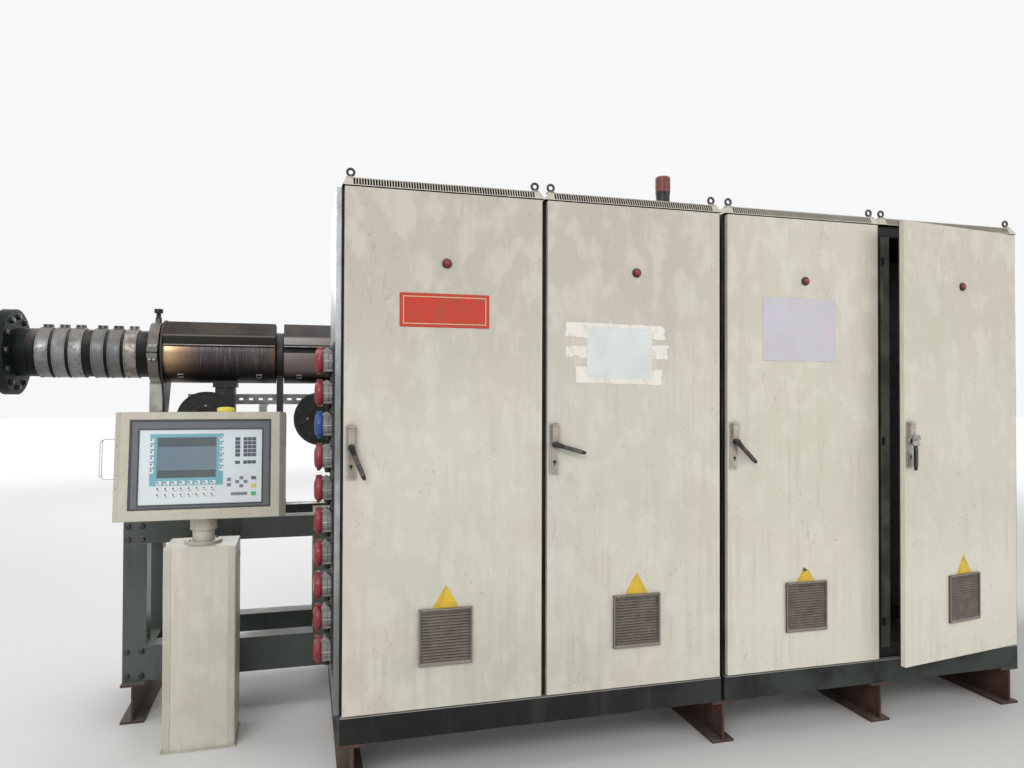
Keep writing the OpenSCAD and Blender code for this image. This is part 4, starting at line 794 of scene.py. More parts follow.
def piece(name, shape, body, finishName, slot=None, sharp=35.0, uv=None, stands=None):  # stands for a node
    points, faces = shape
    mesh = bpy.data.meshes.new(name)
    mesh.from_pydata(points, [], faces)
    mesh.shade_smooth()
    mesh.set_sharp_from_angle(angle=math.radians(sharp))
    if uv:
        index = np.empty(len(mesh.loops), np.int32)
        mesh.loops.foreach_get("vertex_index", index)
        layer = mesh.uv_layers.new(name="along")
        layer.data.foreach_set("uv", np.asarray(uv(points), np.float32)[index].ravel())
    mesh.materials.append(materials[finishName])
    obj = linked(bpy.data.objects.new(name, mesh))
    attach(obj, body)
    slot or slotOf(finishName)
    if stands:
        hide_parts(stands)
    made.append(name)


def machinePiece(name, shape, finishName, **more):
    piece(name, shape, "machine", finishName, **more)


row = {
    "left": -1.360, "front": -0.712, "back": -0.127, "floor": 0.275, "roof": 2.275, "bay": 0.800,
    "gap": 0.016,  # between the second and third bay
    "foot": 0.285, "doorHigh": 1.985, "ajar": 9.0,
    "hinge": (0.781, 0.010),  # from a bay's left front corner
}


def bayX(n):
    return row["left"] + (n - 1) * row["bay"] + (row["gap"] if n > 2 else 0.0)


def onDoor(n, shape):  # from the middle of door n's foot, at its front, to the door's place
    turn = math.radians(row["ajar"] if n == 4 else 0.0)
    side, deep = row["hinge"]
    x, y = shape[0][:, 0] - (side - row["bay"] / 2), shape[0][:, 1] - deep
    return np.column_stack((x * math.cos(turn) - y * math.sin(turn) + bayX(n) + side,
                            x * math.sin(turn) + y * math.cos(turn) + row["front"] + deep,
                            shape[0][:, 2] + row["foot"])), shape[1]


def doorPiece(name, n, shape, finishName, **more):
    piece("%s_%d" % (name, n), onDoor(n, shape), "door_leaf_%d" % n, finishName, **more)


def plate(outline, thick=0.0008, out=0.0, chamfer=0.0):  # a flat outline in X and Z on a door's front
    return facing(prism(np.array(outline, float), thick, chamfer), (0, -out, 0), front)


# Door fittings
latch = {"x": -0.361, "z": 0.985, "high": 0.205, "pivot": 1.003, "plate": 0.0055, "tongue": 0.0088,
         "rest": (22, 74, 45, 0), "levels": (0.08, 0.5, 0.92)}
doorLamp = {
    "z": 1.710,
    "bezel": [(0.0192, 0.0), (0.0192, 0.003), (0.0172, 0.0075), (0.0138, 0.009), (0.0132, 0.004),
              (0.0132, 0.0)],
    "lens": [(0.0138, 0.004), (0.0136, 0.008), (0.0118, 0.0125), (0.0085, 0.0155), (0.0045, 0.017),
             (0, 0.0174)],
}
grille = {"top": 0.378, "low": 0.162, "half": 0.1035, "side": 0.0032, "head": 0.0045, "foot": 0.0135,
          "out": 0.0110, "in": 0.009,
          "screws": [(-0.085, 0.3735), (0.004, 0.3735), (0.085, 0.169), (-0.085, 0.169)]}
patch = {
    "whole": [(-0.0490, 0.3800), (-0.0470, 0.3790), (0.0490, 0.3790), (0.0510, 0.3800), (0.0505, 0.3825),
              (0.0025, 0.4655), (0.0000, 0.4655), (-0.0488, 0.3825)],
    "torn": [(-0.0485, 0.3795), (0.0430, 0.3795), (0.0150, 0.4290), (0.0085, 0.4330), (0.0000, 0.4210),
             (-0.0110, 0.4260), (-0.0190, 0.4240)],
    "flap": [(-0.019, 0.0), (0.012, 0.004), (0.010, 0.026), (0.002, 0.036), (-0.007, 0.022)],
}
seal = {"half": 0.386, "wide": 0.010, "from": 0.0235, "to": 0.0315, "margin": 0.003, "hingeHalf": 0.042}


def doorTrim(n):
    doorPiece("lampBezel", n, facing(lathe(doorLamp["bezel"], 40, True), (0, 0, doorLamp["z"]), front),
              "blackPlastic")
    doorPiece("lampLens", n, turned(doorLamp["lens"], (0, 0, doorLamp["z"]), front, 36), "lampRed",
              stands="door_lamp_%d" % n)
    half, low, top, side = grille["half"], grille["low"], grille["top"], grille["side"] / 2
    out, back = grille["out"], grille["in"]
    foot = box((side - half + 0.0014, -out - 0.0002, low + 0.001),
               (half - side - 0.0014, -back, low + grille["foot"]), 0.0006)
    sides = [box((x - side, -out, low), (x + side, -back, top), 0.0006) for x in (side - half, half - side)]
    head = box((-half, -out, top - grille["head"]), (half, -back, top), 0.0006)
    clips = copies(panScrew(0.0032), [(x, 0.0002 - out, z) for x, z in grille["screws"]], front)
    doorPiece("grilleTrim", n, joined(foot, head, *sides), "grilleEdge")
    doorPiece("grilleScrews", n, clips, "boltSteel")
    if n == 3:  # its yellow patch is torn, with a corner that stands off
        flap = facing(prism(np.array(patch["flap"]), 0.0008), (0.0, -0.003, 0.4240), (0.25, -1.0, 0.35))
        doorPiece("tornCorner", n, flap, "tornFilm")
    doorPiece("yellowPatch", n, plate(patch["torn" if n == 3 else "whole"], 0.0006), "signYellow")
    doorPiece("seal", n, doorSeal(), "rubberBlack")


def doorSeal():  # a rubber strip round the door's inside, with gaps for the hinges
    half, margin, high = seal["half"], seal["margin"], row["doorHigh"]
    inner, low, top = half - seal["wide"], margin + seal["wide"], high - margin - seal["wide"]
    gaps = [share * high + side for share in latch["levels"]
            for side in (-seal["hingeHalf"], seal["hingeHalf"])]
    edges = [low, *gaps, top]
    runs = [(-half, half, margin, low), (-half, half, top, high - margin), (-half, -inner, low, top)]
    runs += [(inner, half, a, b) for a, b in zip(edges[::2], edges[1::2])]
    return joined(*[box((x0, seal["from"], z0), (x1, seal["to"], z1), 0.003) for x0, x1, z0, z1 in runs])


def latchTrim(n):
    x, pivot, skin = latch["x"], latch["pivot"], latch["plate"]
    top, low = latch["z"] + latch["high"] / 2, latch["z"] - latch["high"] / 2
    hood = prism(roundRect(0.027, 0.070, 0.004, middle=(x + 0.001, top - 0.041)), 0.019, 0.004)
    cap = prism(roundRect(0.029, 0.010, 0.003, middle=(x + 0.001, top - 0.009)), 0.021, 0.003)
    tongue = prism(roundRect(0.024, 0.112, 0.004, middle=(x, low + 0.061)), 0.0035, 0.0015)
    hub = turned([(0.0155, 0.0), (0.0155, 0.006), (0.0140, 0.009), (0.0120, 0.009)], (x, -skin, pivot),
                 front, 32)
    doorPiece("latchHood", n, joined(*[facing(part, (0, -skin, 0), front) for part in (hood, cap, tongue)],
                                     hub),
              "latchSteel", slot="zinc_sheet", sharp=30)
    face, key = latch["tongue"], low + 0.050
    hole = turned([(0.0062, 0.0), (0.0062, 0.0012), (0, 0.0012)], (x, -face, key), front, 24)
    doorPiece("keyhole", n, joined(hole, box((x - 0.002, -face - 0.0012, key - 0.014),
                                             (x + 0.002, -face, key), 0.0003)),
              "blackPlastic")
    screws = copies(panScrew(0.0032), [(x, -skin - 0.0003, top - 0.0065), (x, -face, low + 0.010)], front)
    doorPiece("latchScrews", n, screws, "boltSteel")


lever = {
    "outline": [(-0.0105, 0.006), (-0.0112, -0.012), (-0.0085, -0.030), (-0.0088, -0.110), (-0.0072, -0.124),
                (-0.0030, -0.1305), (0.0030, -0.1305), (0.0072, -0.124), (0.0088, -0.110), (0.0085, -0.030),
                (0.0112, -0.012), (0.0105, 0.006), (0.0070, 0.0105), (-0.0070, 0.0105)],
    "hub": [(0.0128, 0.0), (0.0128, 0.023), (0.0112, 0.0262), (0.0065, 0.0270), (0, 0.0270)],
    "ribs": (-0.0045, 0.0, 0.0045),
    "wrap": {"radius": 0.0165, "top": 0.026, "low": -0.022, "rings": 14, "sides": 40, "middle": -0.0335},
}


def onLever(n, shape):  # from a hanging lever about its pivot to where it rests
    turn = math.radians(latch["rest"][n - 1])
    x, y, z = shape[0].T
    return onDoor(n, (np.column_stack((x * math.cos(turn) - z * math.sin(turn) + latch["x"], y,
                                       x * math.sin(turn) + z * math.cos(turn) + latch["pivot"])), shape[1]))


def leverTrim(n):  # a rounded grip over the lever, with three raised ribs and a hub cap
    grip = facing(prism(lever["outline"], 0.015, 0.004, True), (0, -0.0250, 0), front)
    hub = turned(lever["hub"], (0, -0.014, 0), front, 32)
    ribs = [box((x - 0.0011, -0.0412, -0.112), (x + 0.0011, -0.0392, -0.030), 0.0009) for x in lever["ribs"]]
    body = "door_lever_%d" % n
    piece("leverGrip_%d" % n, onLever(n, joined(grip, hub)), body, "leverBlack", sharp=40,
          stands="lever_%d" % n)
    piece("leverRibs_%d" % n, onLever(n, joined(*ribs)), body, "leverRib")


def crumpledWrap():  # thin foil round the fourth lever's root: circles ruffled by sums of waves
    w = lever["wrap"]
    turn = np.linspace(0, 2 * math.pi, w["sides"], endpoint=False)
    k = np.arange(w["rings"])[:, None]
    ruffle = 0.0011 * np.sin(5 * turn + 1.7 * k) + 0.0008 * np.sin(11 * turn - 2.9 * k) + \
        0.0006 * np.sin(3 * turn + k * k)
    wide = w["radius"] + ruffle + 0.002 * np.sin(0.7 * k)
    high = np.broadcast_to(np.linspace(w["top"], w["low"], w["rings"])[:, None], wide.shape)
    rings = np.stack((wide * np.cos(turn), w["middle"] + (wide - 0.004) * np.sin(turn), high), -1)
    piece("leverWrap", onLever(4, loft(rings[::-1])), "door_lever_4", "greyFoil", sharp=60)
    half = turn[::2]
    ring = np.column_stack((0.021 + 0.006 * np.cos(half), -0.036 + 0.003 * np.sin(half),
                            0.012 + 0.0045 * np.sin(half)))
    piece("wrapRing", onLever(4, tube(ring, 0.0012, 8)), "door_lever_4", "blackPlastic")


notice = {
    "plate": (0.352, 0.131), "line": (0.326, 0.107, 0.003), "plateMiddle": (-0.0065, 1.5265),
    "sheet": [(-0.221, 1.262), (0.071, 1.260), (0.072, 1.487), (-0.219, 1.490)],
    "strips": [
        [(-0.313, 1.440), (-0.216, 1.434), (-0.214, 1.478), (0.068, 1.478), (0.072, 1.436), (0.118, 1.430),
         (0.136, 1.436), (0.121, 1.458), (0.131, 1.472), (0.115, 1.491), (-0.310, 1.499)],
        [(-0.311, 1.352), (-0.262, 1.364), (-0.250, 1.353), (-0.221, 1.352), (-0.222, 1.401), (-0.300, 1.402),
         (-0.314, 1.392)],
        [(0.069, 1.352), (0.141, 1.351), (0.139, 1.394), (0.149, 1.410), (0.110, 1.410), (0.070, 1.408)],
        [(-0.268, 1.252), (0.114, 1.243), (0.117, 1.306), (0.071, 1.308), (0.070, 1.266), (-0.219, 1.271),
         (-0.222, 1.318), (-0.269, 1.320)],
    ],
    "tear": 0.0022,  # how far the tape's torn edge wanders
    "paper": {"corner": (-0.2145, 1.3545), "size": (0.370, 0.2785), "grid": (40, 32), "thick": 0.0002},
}


def tornOutline(corners, depth, seed, step=0.006):  # points a step apart, each pushed about a little
    rng = np.random.default_rng(seed)
    points = []
    for a, b in zip(np.array(corners), np.roll(corners, -1, 0)):
        count = max(1, int(np.linalg.norm(b - a) / step))
        points.append(a + (b - a) * np.arange(count)[:, None] / count
                      + rng.uniform(-depth, depth, (count, 2)))
    return np.concatenate(points)


def wavyPaper(s):  # a sheet with a small wave in its middle and a curl at its right edge
    rows, columns = s["grid"]
    u, v = np.meshgrid(np.linspace(0, 1, rows), np.linspace(0, 1, columns), indexing="ij")
    wave = 0.0012 * np.sin(9 * u + 4 * v) ** 2 * u * (1 - u) * 4
    curl = 0.003 * np.clip(u - 0.93, 0, 1) * v * 10
    (x, z), (wide, high) = s["corner"], s["size"]
    grid = np.stack((x + wide * u, -(0.0012 + wave + curl), z + high * v), -1).reshape(-1, 3)
    back = grid * (1, 0, 1) - (0, s["thick"], 0)
    at = np.arange(rows * columns).reshape(rows, columns)
    faces = np.stack((at[:-1, :-1], at[1:, :-1], at[1:, 1:], at[:-1, 1:]), -1).reshape(-1, 4)
    rim = np.concatenate((at[:, 0], at[-1, 1:], at[-2::-1, -1], at[0, -2:0:-1]))
    after = np.roll(rim, -1)
    hem = np.stack((rim, rim + len(grid), after + len(grid), after), -1)
    return np.concatenate((grid, back)), np.concatenate((faces, faces[:, ::-1] + len(grid), hem)).tolist()


def notices():
    (w, h, line), middle = notice["line"], np.array(notice["plateMiddle"])
    doorPiece("redPlate", 1, plate(roundRect(*notice["plate"], 0.004, middle=middle), 0.002, 0.0, 0.0006),
              "plateRed")
    sides = [((-w / 2, h / 2 - line), (w / 2, h / 2)), ((-w / 2, -h / 2), (w / 2, line - h / 2)),
             ((-w / 2, line - h / 2), (line - w / 2, h / 2 - line)),
             ((w / 2 - line, line - h / 2), (w / 2, h / 2 - line))]
    border = [plate(rect(low, high) + middle, 0.0003, 0.002) for low, high in sides]
    doorPiece("redPlateLine", 1, joined(*border), "plateLine")
    doorPiece("blankSheet", 2, plate(tornOutline(notice["sheet"], 0.0006, 3), 0.0006), "sheetBlue")
    tapes = [plate(tornOutline(strip, notice["tear"], 20 + k), 0.0005, 0.0006)
             for k, strip in enumerate(notice["strips"])]
    doorPiece("tornTape", 2, joined(*tapes), "tapeWhite")
    doorPiece("lilacPaper", 3, wavyPaper(notice["paper"]), "paperLilac")


for number in range(1, 5):
    doorTrim(number)
    latchTrim(number)
    leverTrim(number)
crumpledWrap()
notices()
print("doors fitted out,", len(made), "pieces")

# Cabinet row: sills, vent caps, beacon and power sockets
cabinet = {"eyes": (0.034, 0.566), "shadeIn": 0.018, "shadeBack": -0.146, "bays": (1, 2, 3, 4),
           "flange": {"x": (0.030, 0.720), "wide": 0.050, "y": (-0.6790, -0.6765), "z": (0.325, 2.225)},
           "keeper": {"x": (0.034, 0.050), "y": (-0.6830, -0.6785), "half": 0.020},
           "rearScrews": {"x": (0.02, 0.78), "y": -0.1122, "z": (0.36, 0.98, 1.60, 2.22)}}
ventCap = {"wide": row["bay"] - 0.002, "deep": row["back"] - row["front"] + 0.015, "high": 0.034,
           "lean": 0.018, "sheet": 0.0012, "slots": 69, "step": 0.0104, "slotHalf": 0.0032, "rim": 0.0035}
beacon = {
    "place": (0.110, -0.412, 2.309), "lensUp": 0.120, "threads": 9, "pitch": 0.0062,
    "thread": [(0.0350, 0.0), (0.0350, 0.0028), (0.0338, 0.0036), (0.0338, 0.0054)],
    "top": [(0.0350, 0.0605), (0.0335, 0.0665), (0.0290, 0.0705), (0.020, 0.0715), (0, 0.0720)],
    "base": [(0.044, 0.0), (0.044, 0.005), (0.0405, 0.0085), (0.0325, 0.0095), (0.0325, 0.030),
             (0.0338, 0.032), (0.0338, 0.036), (0.0325, 0.038), (0.0325, 0.108), (0.0342, 0.110),
             (0.0342, 0.1198), (0, 0.1198)],
}


def capShape():  # one roof's vent cap: sloped sides of sheet, with slots left between small flats, and a top
    s = ventCap
    wide, deep, high, lean = s["wide"], s["deep"], s["high"], s["lean"]
    sheet, half = s["sheet"], s["slotHalf"]
    starts = (wide - (s["slots"] - 1) * s["step"]) / 2 + s["step"] * np.arange(s["slots"])
    low, top = s["rim"] - 0.0001, high - s["rim"] - 0.0001
    left, right = starts[0] - half, starts[-1] + half
    flats = [[(0, 0), (left, 0), (left, high), (lean, high)],
             [(wide, 0), (wide - lean, high), (right, high), (right, 0)],
             rect((left, 0), (right, low)), rect((left, top), (right, high))]
    flats += [rect((x + half, low), (x + s["step"] - half, top)) for x in starts[:-1]]
    side = joined(*[facing(prism(flat, sheet), (0, sheet, 0), front) for flat in flats])
    side[0][:, 1] += lean / high * side[0][:, 2]
    tip = 0.0002  # keeps the ends clear of the sides at the corners
    end = carriedX([(tip, 0), (deep - tip, 0), (deep - lean, high - tip), (lean, high - tip)], sheet)
    end[0][:, 0] += lean / high * end[0][:, 2] + tip
    part = joined(side, end)
    return joined(part, (part[0] * (-1, -1, 1) + (wide, deep, 0), part[1]),
                  box((lean, lean, high - sheet), (wide - lean, deep - lean, high), 0.0003))


def cabinetTrim():
    bays, face, roof = cabinet["bays"], row["front"], row["roof"]
    sills = [box((bayX(n) + 0.004, -0.7085, row["floor"] + 0.0002),
                 (bayX(n) + 2 * row["bay"] - 0.004, -0.682, row["floor"] + 0.0040), 0.0008) for n in (1, 3)]
    machinePiece("doorSills", joined(*sills), "sillGrey")
    near, far = cabinet["eyes"]
    spots = [(bayX(n) + x, face + y, roof + ventCap["high"]) for n in bays for x in (near, row["bay"] - near)
             for y in (near, far)]
    washer = lathe([(0.019, 0.0), (0.019, 0.0022), (0.0175, 0.003), (0, 0.003)], 32)
    machinePiece("eyeWashers", copies(washer, spots), "boltSteel")
    # black blocks under the vent caps, so the slots show painted shade
    inner = cabinet["shadeIn"]
    shades = [box((bayX(n) + inner, face + inner, roof + 0.001),
                  (bayX(n) + row["bay"] - inner, cabinet["shadeBack"], roof + 0.025), 0.001) for n in bays]
    machinePiece("paintedVentShade", joined(*shades), "slotBlack", slot="black_plastic")
    cap = capShape()
    machinePiece("ventCaps", joined(*[moved(cap, (bayX(n) + 0.001, face, roof)) for n in bays]), "doorCream",
                 stands="roof_vent_caps")
    s = cabinet["flange"]
    flanges = [box((bayX(n) + x, s["y"][0], s["z"][0]),
                   (bayX(n) + x + s["wide"], s["y"][1], s["z"][1]), 0.0006)
               for n in bays for x in s["x"]]
    machinePiece("frameFlanges", joined(*flanges), "postGrey")
    s = cabinet["keeper"]
    levels = [row["foot"] + share * row["doorHigh"] for share in latch["levels"]]
    keepers = [box((bayX(n) + s["x"][0], s["y"][0], z - s["half"]),
                   (bayX(n) + s["x"][1], s["y"][1], z + s["half"]),
                   0.001) for n in bays for z in levels]
    machinePiece("rodKeepers", joined(*keepers), "blackPlastic")
    threads = [(r, 0.004 + k * beacon["pitch"] + z) for k in range(beacon["threads"])
               for r, z in beacon["thread"]]
    lens = lathe([(0.0345, 0.0), *threads, *beacon["top"]], 48)
    machinePiece("beaconLens", moved(moved(lens, beacon["place"]), (0, 0, beacon["lensUp"])), "beaconRed",
                 stands="beacon_lens")
    machinePiece("beaconBase", moved(lathe(beacon["base"], 48), beacon["place"]), "blackPlastic",
                 stands="beacon_base")
    s = cabinet["rearScrews"]
    spots = [(bayX(n) + x, s["y"], z) for n in bays for x in s["x"] for z in s["z"]]
    machinePiece("rearScrews", copies(panScrew(0.006), spots, rear), "boltSteel")


socket = {
    "first": (-1.379, -0.497, 1.618), "step": 0.127, "count": 10, "blue": 2,
    "barrel": [(0.036, 0.003), (0.0385, 0.006), (0.0385, 0.019), (0.0405, 0.021), (0.0405, 0.0425),
               (0.038, 0.043)],
    "crest": [(-0.003, 0.036), (-0.012, 0.046), (-0.025, 0.053), (-0.044, 0.043), (-0.042, 0.028),
              (-0.003, 0.028)],
    "gland": [(0.0135, 0.0), (0.0135, 0.010), (0.0115, 0.012), (0.0115, 0.020), (0.0095, 0.022), (0, 0.022)],
    "cap": [(0.0425, 0.0415), (0.0465, 0.0425), (0.0478, 0.045), (0.0478, 0.0585), (0.0468, 0.0610),
            (0.0440, 0.0622), (0.0425, 0.0655), (0.0380, 0.0690), (0.0260, 0.0722), (0.0120, 0.0730),
            (0, 0.0730)],
    "foot": (0.046, 0.050), "screws": (0.040, 0.044),
    "plate": ((-1.3800, -0.655, 0.400), (-1.3789, -0.140, 1.690)),
}


def sockets():  # each is drawn about its own axis, looking out to the left
    x, y, z = socket["first"]
    places = [(x, y, z - socket["step"] * k) for k in range(socket["count"])]
    mouth = turned(socket["barrel"], (0, 0, 0), leftward, 56)
    hinge = facing(prism(softened(socket["crest"], 0.003), 0.052, 0.003, True), (0, 0.026, 0), front)
    under = box((-0.040, -0.024, -0.0425), (-0.004, 0.024, -0.030), 0.003)
    machinePiece("socketBodies", copies(joined(mouth, hinge, under), places), "socketGrey",
                 stands="socket_bodies")
    # thin light strips along each socket body: painted highlight
    line = [box((-0.060, side * 0.040 - 0.0016, -0.002), (-0.004, side * 0.040 + 0.0016, 0.001), 0.0006)
            for side in (-1, 1)]
    machinePiece("socketHighlightLines", copies(joined(*line), places), "socketLight")
    (wide, high), (across, up) = socket["foot"], socket["screws"]
    foot = joined(box((-0.004, -wide, -high), (0.0, wide, high), 0.001),
                  *[facing(capScrew(0.004), (-0.004, side, rise), leftward) for side in (-across, across)
                    for rise in (-up, up)])
    gland = turned(socket["gland"], (-0.020, 0, -0.040), (0, 0, -1), 24)
    machinePiece("socketFeet", copies(joined(foot, gland), places), "blackPlastic")
    pin = turned([(0.0042, 0.0), (0.0042, 0.032), (0, 0.0325)], (-0.044, -0.016, 0.0500), rear, 16)
    lid = joined(turned(socket["cap"], (0, 0, 0), leftward, 56),
                 box((-0.066, -0.0095, 0.040), (-0.043, 0.0095, 0.0555), 0.003),
                 box((-0.062, -0.010, -0.0535), (-0.048, 0.010, -0.044), 0.002), pin)
    blue = places.pop(socket["blue"])
    machinePiece("socketLidsRed", copies(lid, places), "lidRed", stands="socket_lids")
    machinePiece("socketLidBlue", copies(lid, [blue]), "lidBlue")
    # a black sheet on the end panel behind the sockets: painted shade
    machinePiece("socketShadeSheet", box(*socket["plate"], 0.0003), "plateBlack")


cabinetTrim()
sockets()

# Barrel, heater bands, clamp and temperature zones
screw = {"y": 0.438, "z": 1.680, "outlet": -2.840, "zone": -2.142, "pitch": 0.552, "long": 0.512, "count": 5}
barrel = {"bolts": 12, "boltCircle": 0.165, "flange": 0.0505, "collarX": -2.728,
          "stud": [(0.0102, 0.0), (0.0102, 0.047), (0.0092, 0.048), (0, 0.048)],
          "collar": [(0.1131, 0.0), (0.1136, 0.001), (0.1136, 0.035), (0.1131, 0.036)]}


def zoneX(k):
    return screw["zone"] + k * screw["pitch"]


def onAxis(shape, x):
    return moved(shape, (x, screw["y"], screw["z"]))


def turnedX(profile, x, sides=96, closed=False):  # radius and X pairs turned about the screw axis
    return onAxis(facing(lathe(profile, sides, closed), (0, 0, 0), rightward), x)


def ringPlaces(radius, count, x, start=0.0):  # round the screw axis, the first at start degrees from the top
    turn = np.radians(start + np.arange(count) * 360 / count)
    return np.column_stack((np.full(count, x), screw["y"] + radius * np.sin(turn),
                            screw["z"] + radius * np.cos(turn)))


def barrelTrim():
    shanks = ringPlaces(barrel["boltCircle"], barrel["bolts"], screw["outlet"] + barrel["flange"])
    machinePiece("flangeBolts", copies(hexBolt(0.0145), shanks, rightward, 0.3), "boltDark")
    machinePiece("flangeStuds", copies(lathe(barrel["stud"], 20), shanks, leftward), "boltDark")
    machinePiece("barrelCollar", turnedX(barrel["collar"], barrel["collarX"]), "barrelDark")


band = {
    "starts": (-2.689, -2.6195, -2.550, -2.4565, -2.387, -2.3175),
    "ring": [(0.1134, 0.0), (0.1190, 0.0), (0.1196, 0.0012), (0.1196, 0.0045), (0.1180, 0.0062),
             (0.1174, 0.0120),
             (0.1174, 0.0430), (0.1180, 0.0488), (0.1196, 0.0505), (0.1196, 0.0538), (0.1190, 0.0550),
             (0.1134, 0.0550)],
    "screws": (0.0165, 0.0385), "screwHigh": 0.1275, "boxTilt": -52.0,
    "outlet": [(0.0065, 0.0), (0.0065, 0.010), (0.0045, 0.012), (0.0045, 0.020), (0, 0.020)],
}


def aboutX(shape, degrees):  # a shape turned about the X axis
    turn = math.radians(degrees)
    x, y, z = shape[0].T
    return np.column_stack((x, y * math.cos(turn) - z * math.sin(turn),
                            y * math.sin(turn) + z * math.cos(turn))), shape[1]


def heaterBands():  # rolled rings, each with a screwed clamp on top and a terminal box at its front
    high = band["screwHigh"]
    lugs = [box((0.007, -0.0105, 0.1150), (0.048, -0.0065, 0.1345), 0.0012),
            box((0.004, -0.012, 0.1170), (0.051, 0.012, 0.1205), 0.001),
            box((0.007, 0.0065, 0.1150), (0.048, 0.0105, 0.1345), 0.0012),
            box((0.010, 0.012, 0.1165), (0.045, 0.030, 0.1195), 0.001)]
    screws = [part for x in band["screws"] for part in (
        turned([(0.0030, 0.0), (0.0030, 0.034), (0, 0.034)], (x, -0.017, high), rear, 12),
        facing(hexBolt(0.0052), (x, -0.0105, high), front))]
    cover = joined(box((0.0135, -0.015, 0.116), (0.0415, 0.015, 0.139), 0.0025),
                   box((0.0125, -0.016, 0.137), (0.0425, 0.016, 0.142), 0.002),
                   turned(band["outlet"], (0.0275, 0.015, 0.129), rear, 20))
    cover = aboutX(cover, band["boxTilt"])

    def whichBand(p):
        return np.column_stack((p[:, 0], np.searchsorted(np.array(band["starts"]) - 0.005, p[:, 0])))

    rings = [turnedX(band["ring"], x, 96, True) for x in band["starts"]]
    clamps, bolts, boxes = [[onAxis(shape, x) for x in band["starts"]]
                            for shape in (joined(*lugs), joined(*screws), cover)]
    machinePiece("heaterBands", joined(*rings, *clamps), "heaterSteel", sharp=30, uv=whichBand,
                 stands="heater_bands")
    machinePiece("bandScrews", joined(*bolts), "boltDark")
    machinePiece("bandBoxes", joined(*boxes), "bandBox")


clamp = {
    "x": (-2.206, -2.160), "knobX": -2.183, "boltIn": 0.013, "boltOut": 0.157, "face": 0.0262,
    "knob": [(0.0190, 0.0), (0.0200, 0.002), (0.0200, 0.017), (0.0185, 0.0202), (0.0100, 0.0212),
             (0, 0.0212)],
    "knobZ": 1.8815, "stem": [(0.0145, 0.0), (0.0145, 0.006), (0.0108, 0.008), (0.0108, 0.030)],
    "stemZ": 1.8530,
    "feet": {"y": 0.215, "z": 0.916, "zone": -0.020},
}


def clampTrim():
    x0, x1 = clamp["x"]
    nuts = [(x, screw["y"] + side * clamp["boltOut"]) for x in (x0 + clamp["boltIn"], x1 - clamp["boltIn"])
            for side in (-1, 1)]
    bolts = [facing(hexBolt(0.0125), (x, y, screw["z"] + way * clamp["face"]), (0, 0, way), spin)
             for way, spin in ((1, 0.4), (-1, 0.2)) for x, y in nuts]
    machinePiece("clampNuts", joined(*bolts), "boltSteel")
    stem = moved(lathe(clamp["stem"], 24), (clamp["knobX"], screw["y"], clamp["stemZ"]))
    knob = moved(lathe(clamp["knob"], 32), (clamp["knobX"], screw["y"], clamp["knobZ"]))
    machinePiece("clampKnob", joined(stem, knob), "blackPlastic")
    s = clamp["feet"]
    middles = [clamp["knobX"], *[zoneX(k) + s["zone"] for k in range(1, screw["count"])]]
    feet = [(x, screw["y"] + side * s["y"], s["z"]) for x in middles for side in (-1, 1)]
    machinePiece("footBolts", copies(hexBolt(0.014), feet), "boltDark")


zone = {
    "radius": 0.140, "cut": (0.040, 0.010, 0.040, 0.040, 0.040),  # each casing's edge under the axis
    "end": 0.006, "endRadius": 0.1412,
    "lid": [(0.146, 0.040), (0.141, 0.086), (0.080, 0.157), (-0.080, 0.157), (-0.141, 0.086),
            (-0.146, 0.040)],
    "lidSoft": (0.001, 0.008, 0.012, 0.012, 0.008, 0.001), "lip": 0.0028,
    "core": (0.114, 0.131), "coreIn": 0.004,
    "clips": {"x": (0.075, 0.435), "angles": (228, 312), "half": 0.013, "side": 0.011, "thick": 0.003,
              "high": 0.006},
}


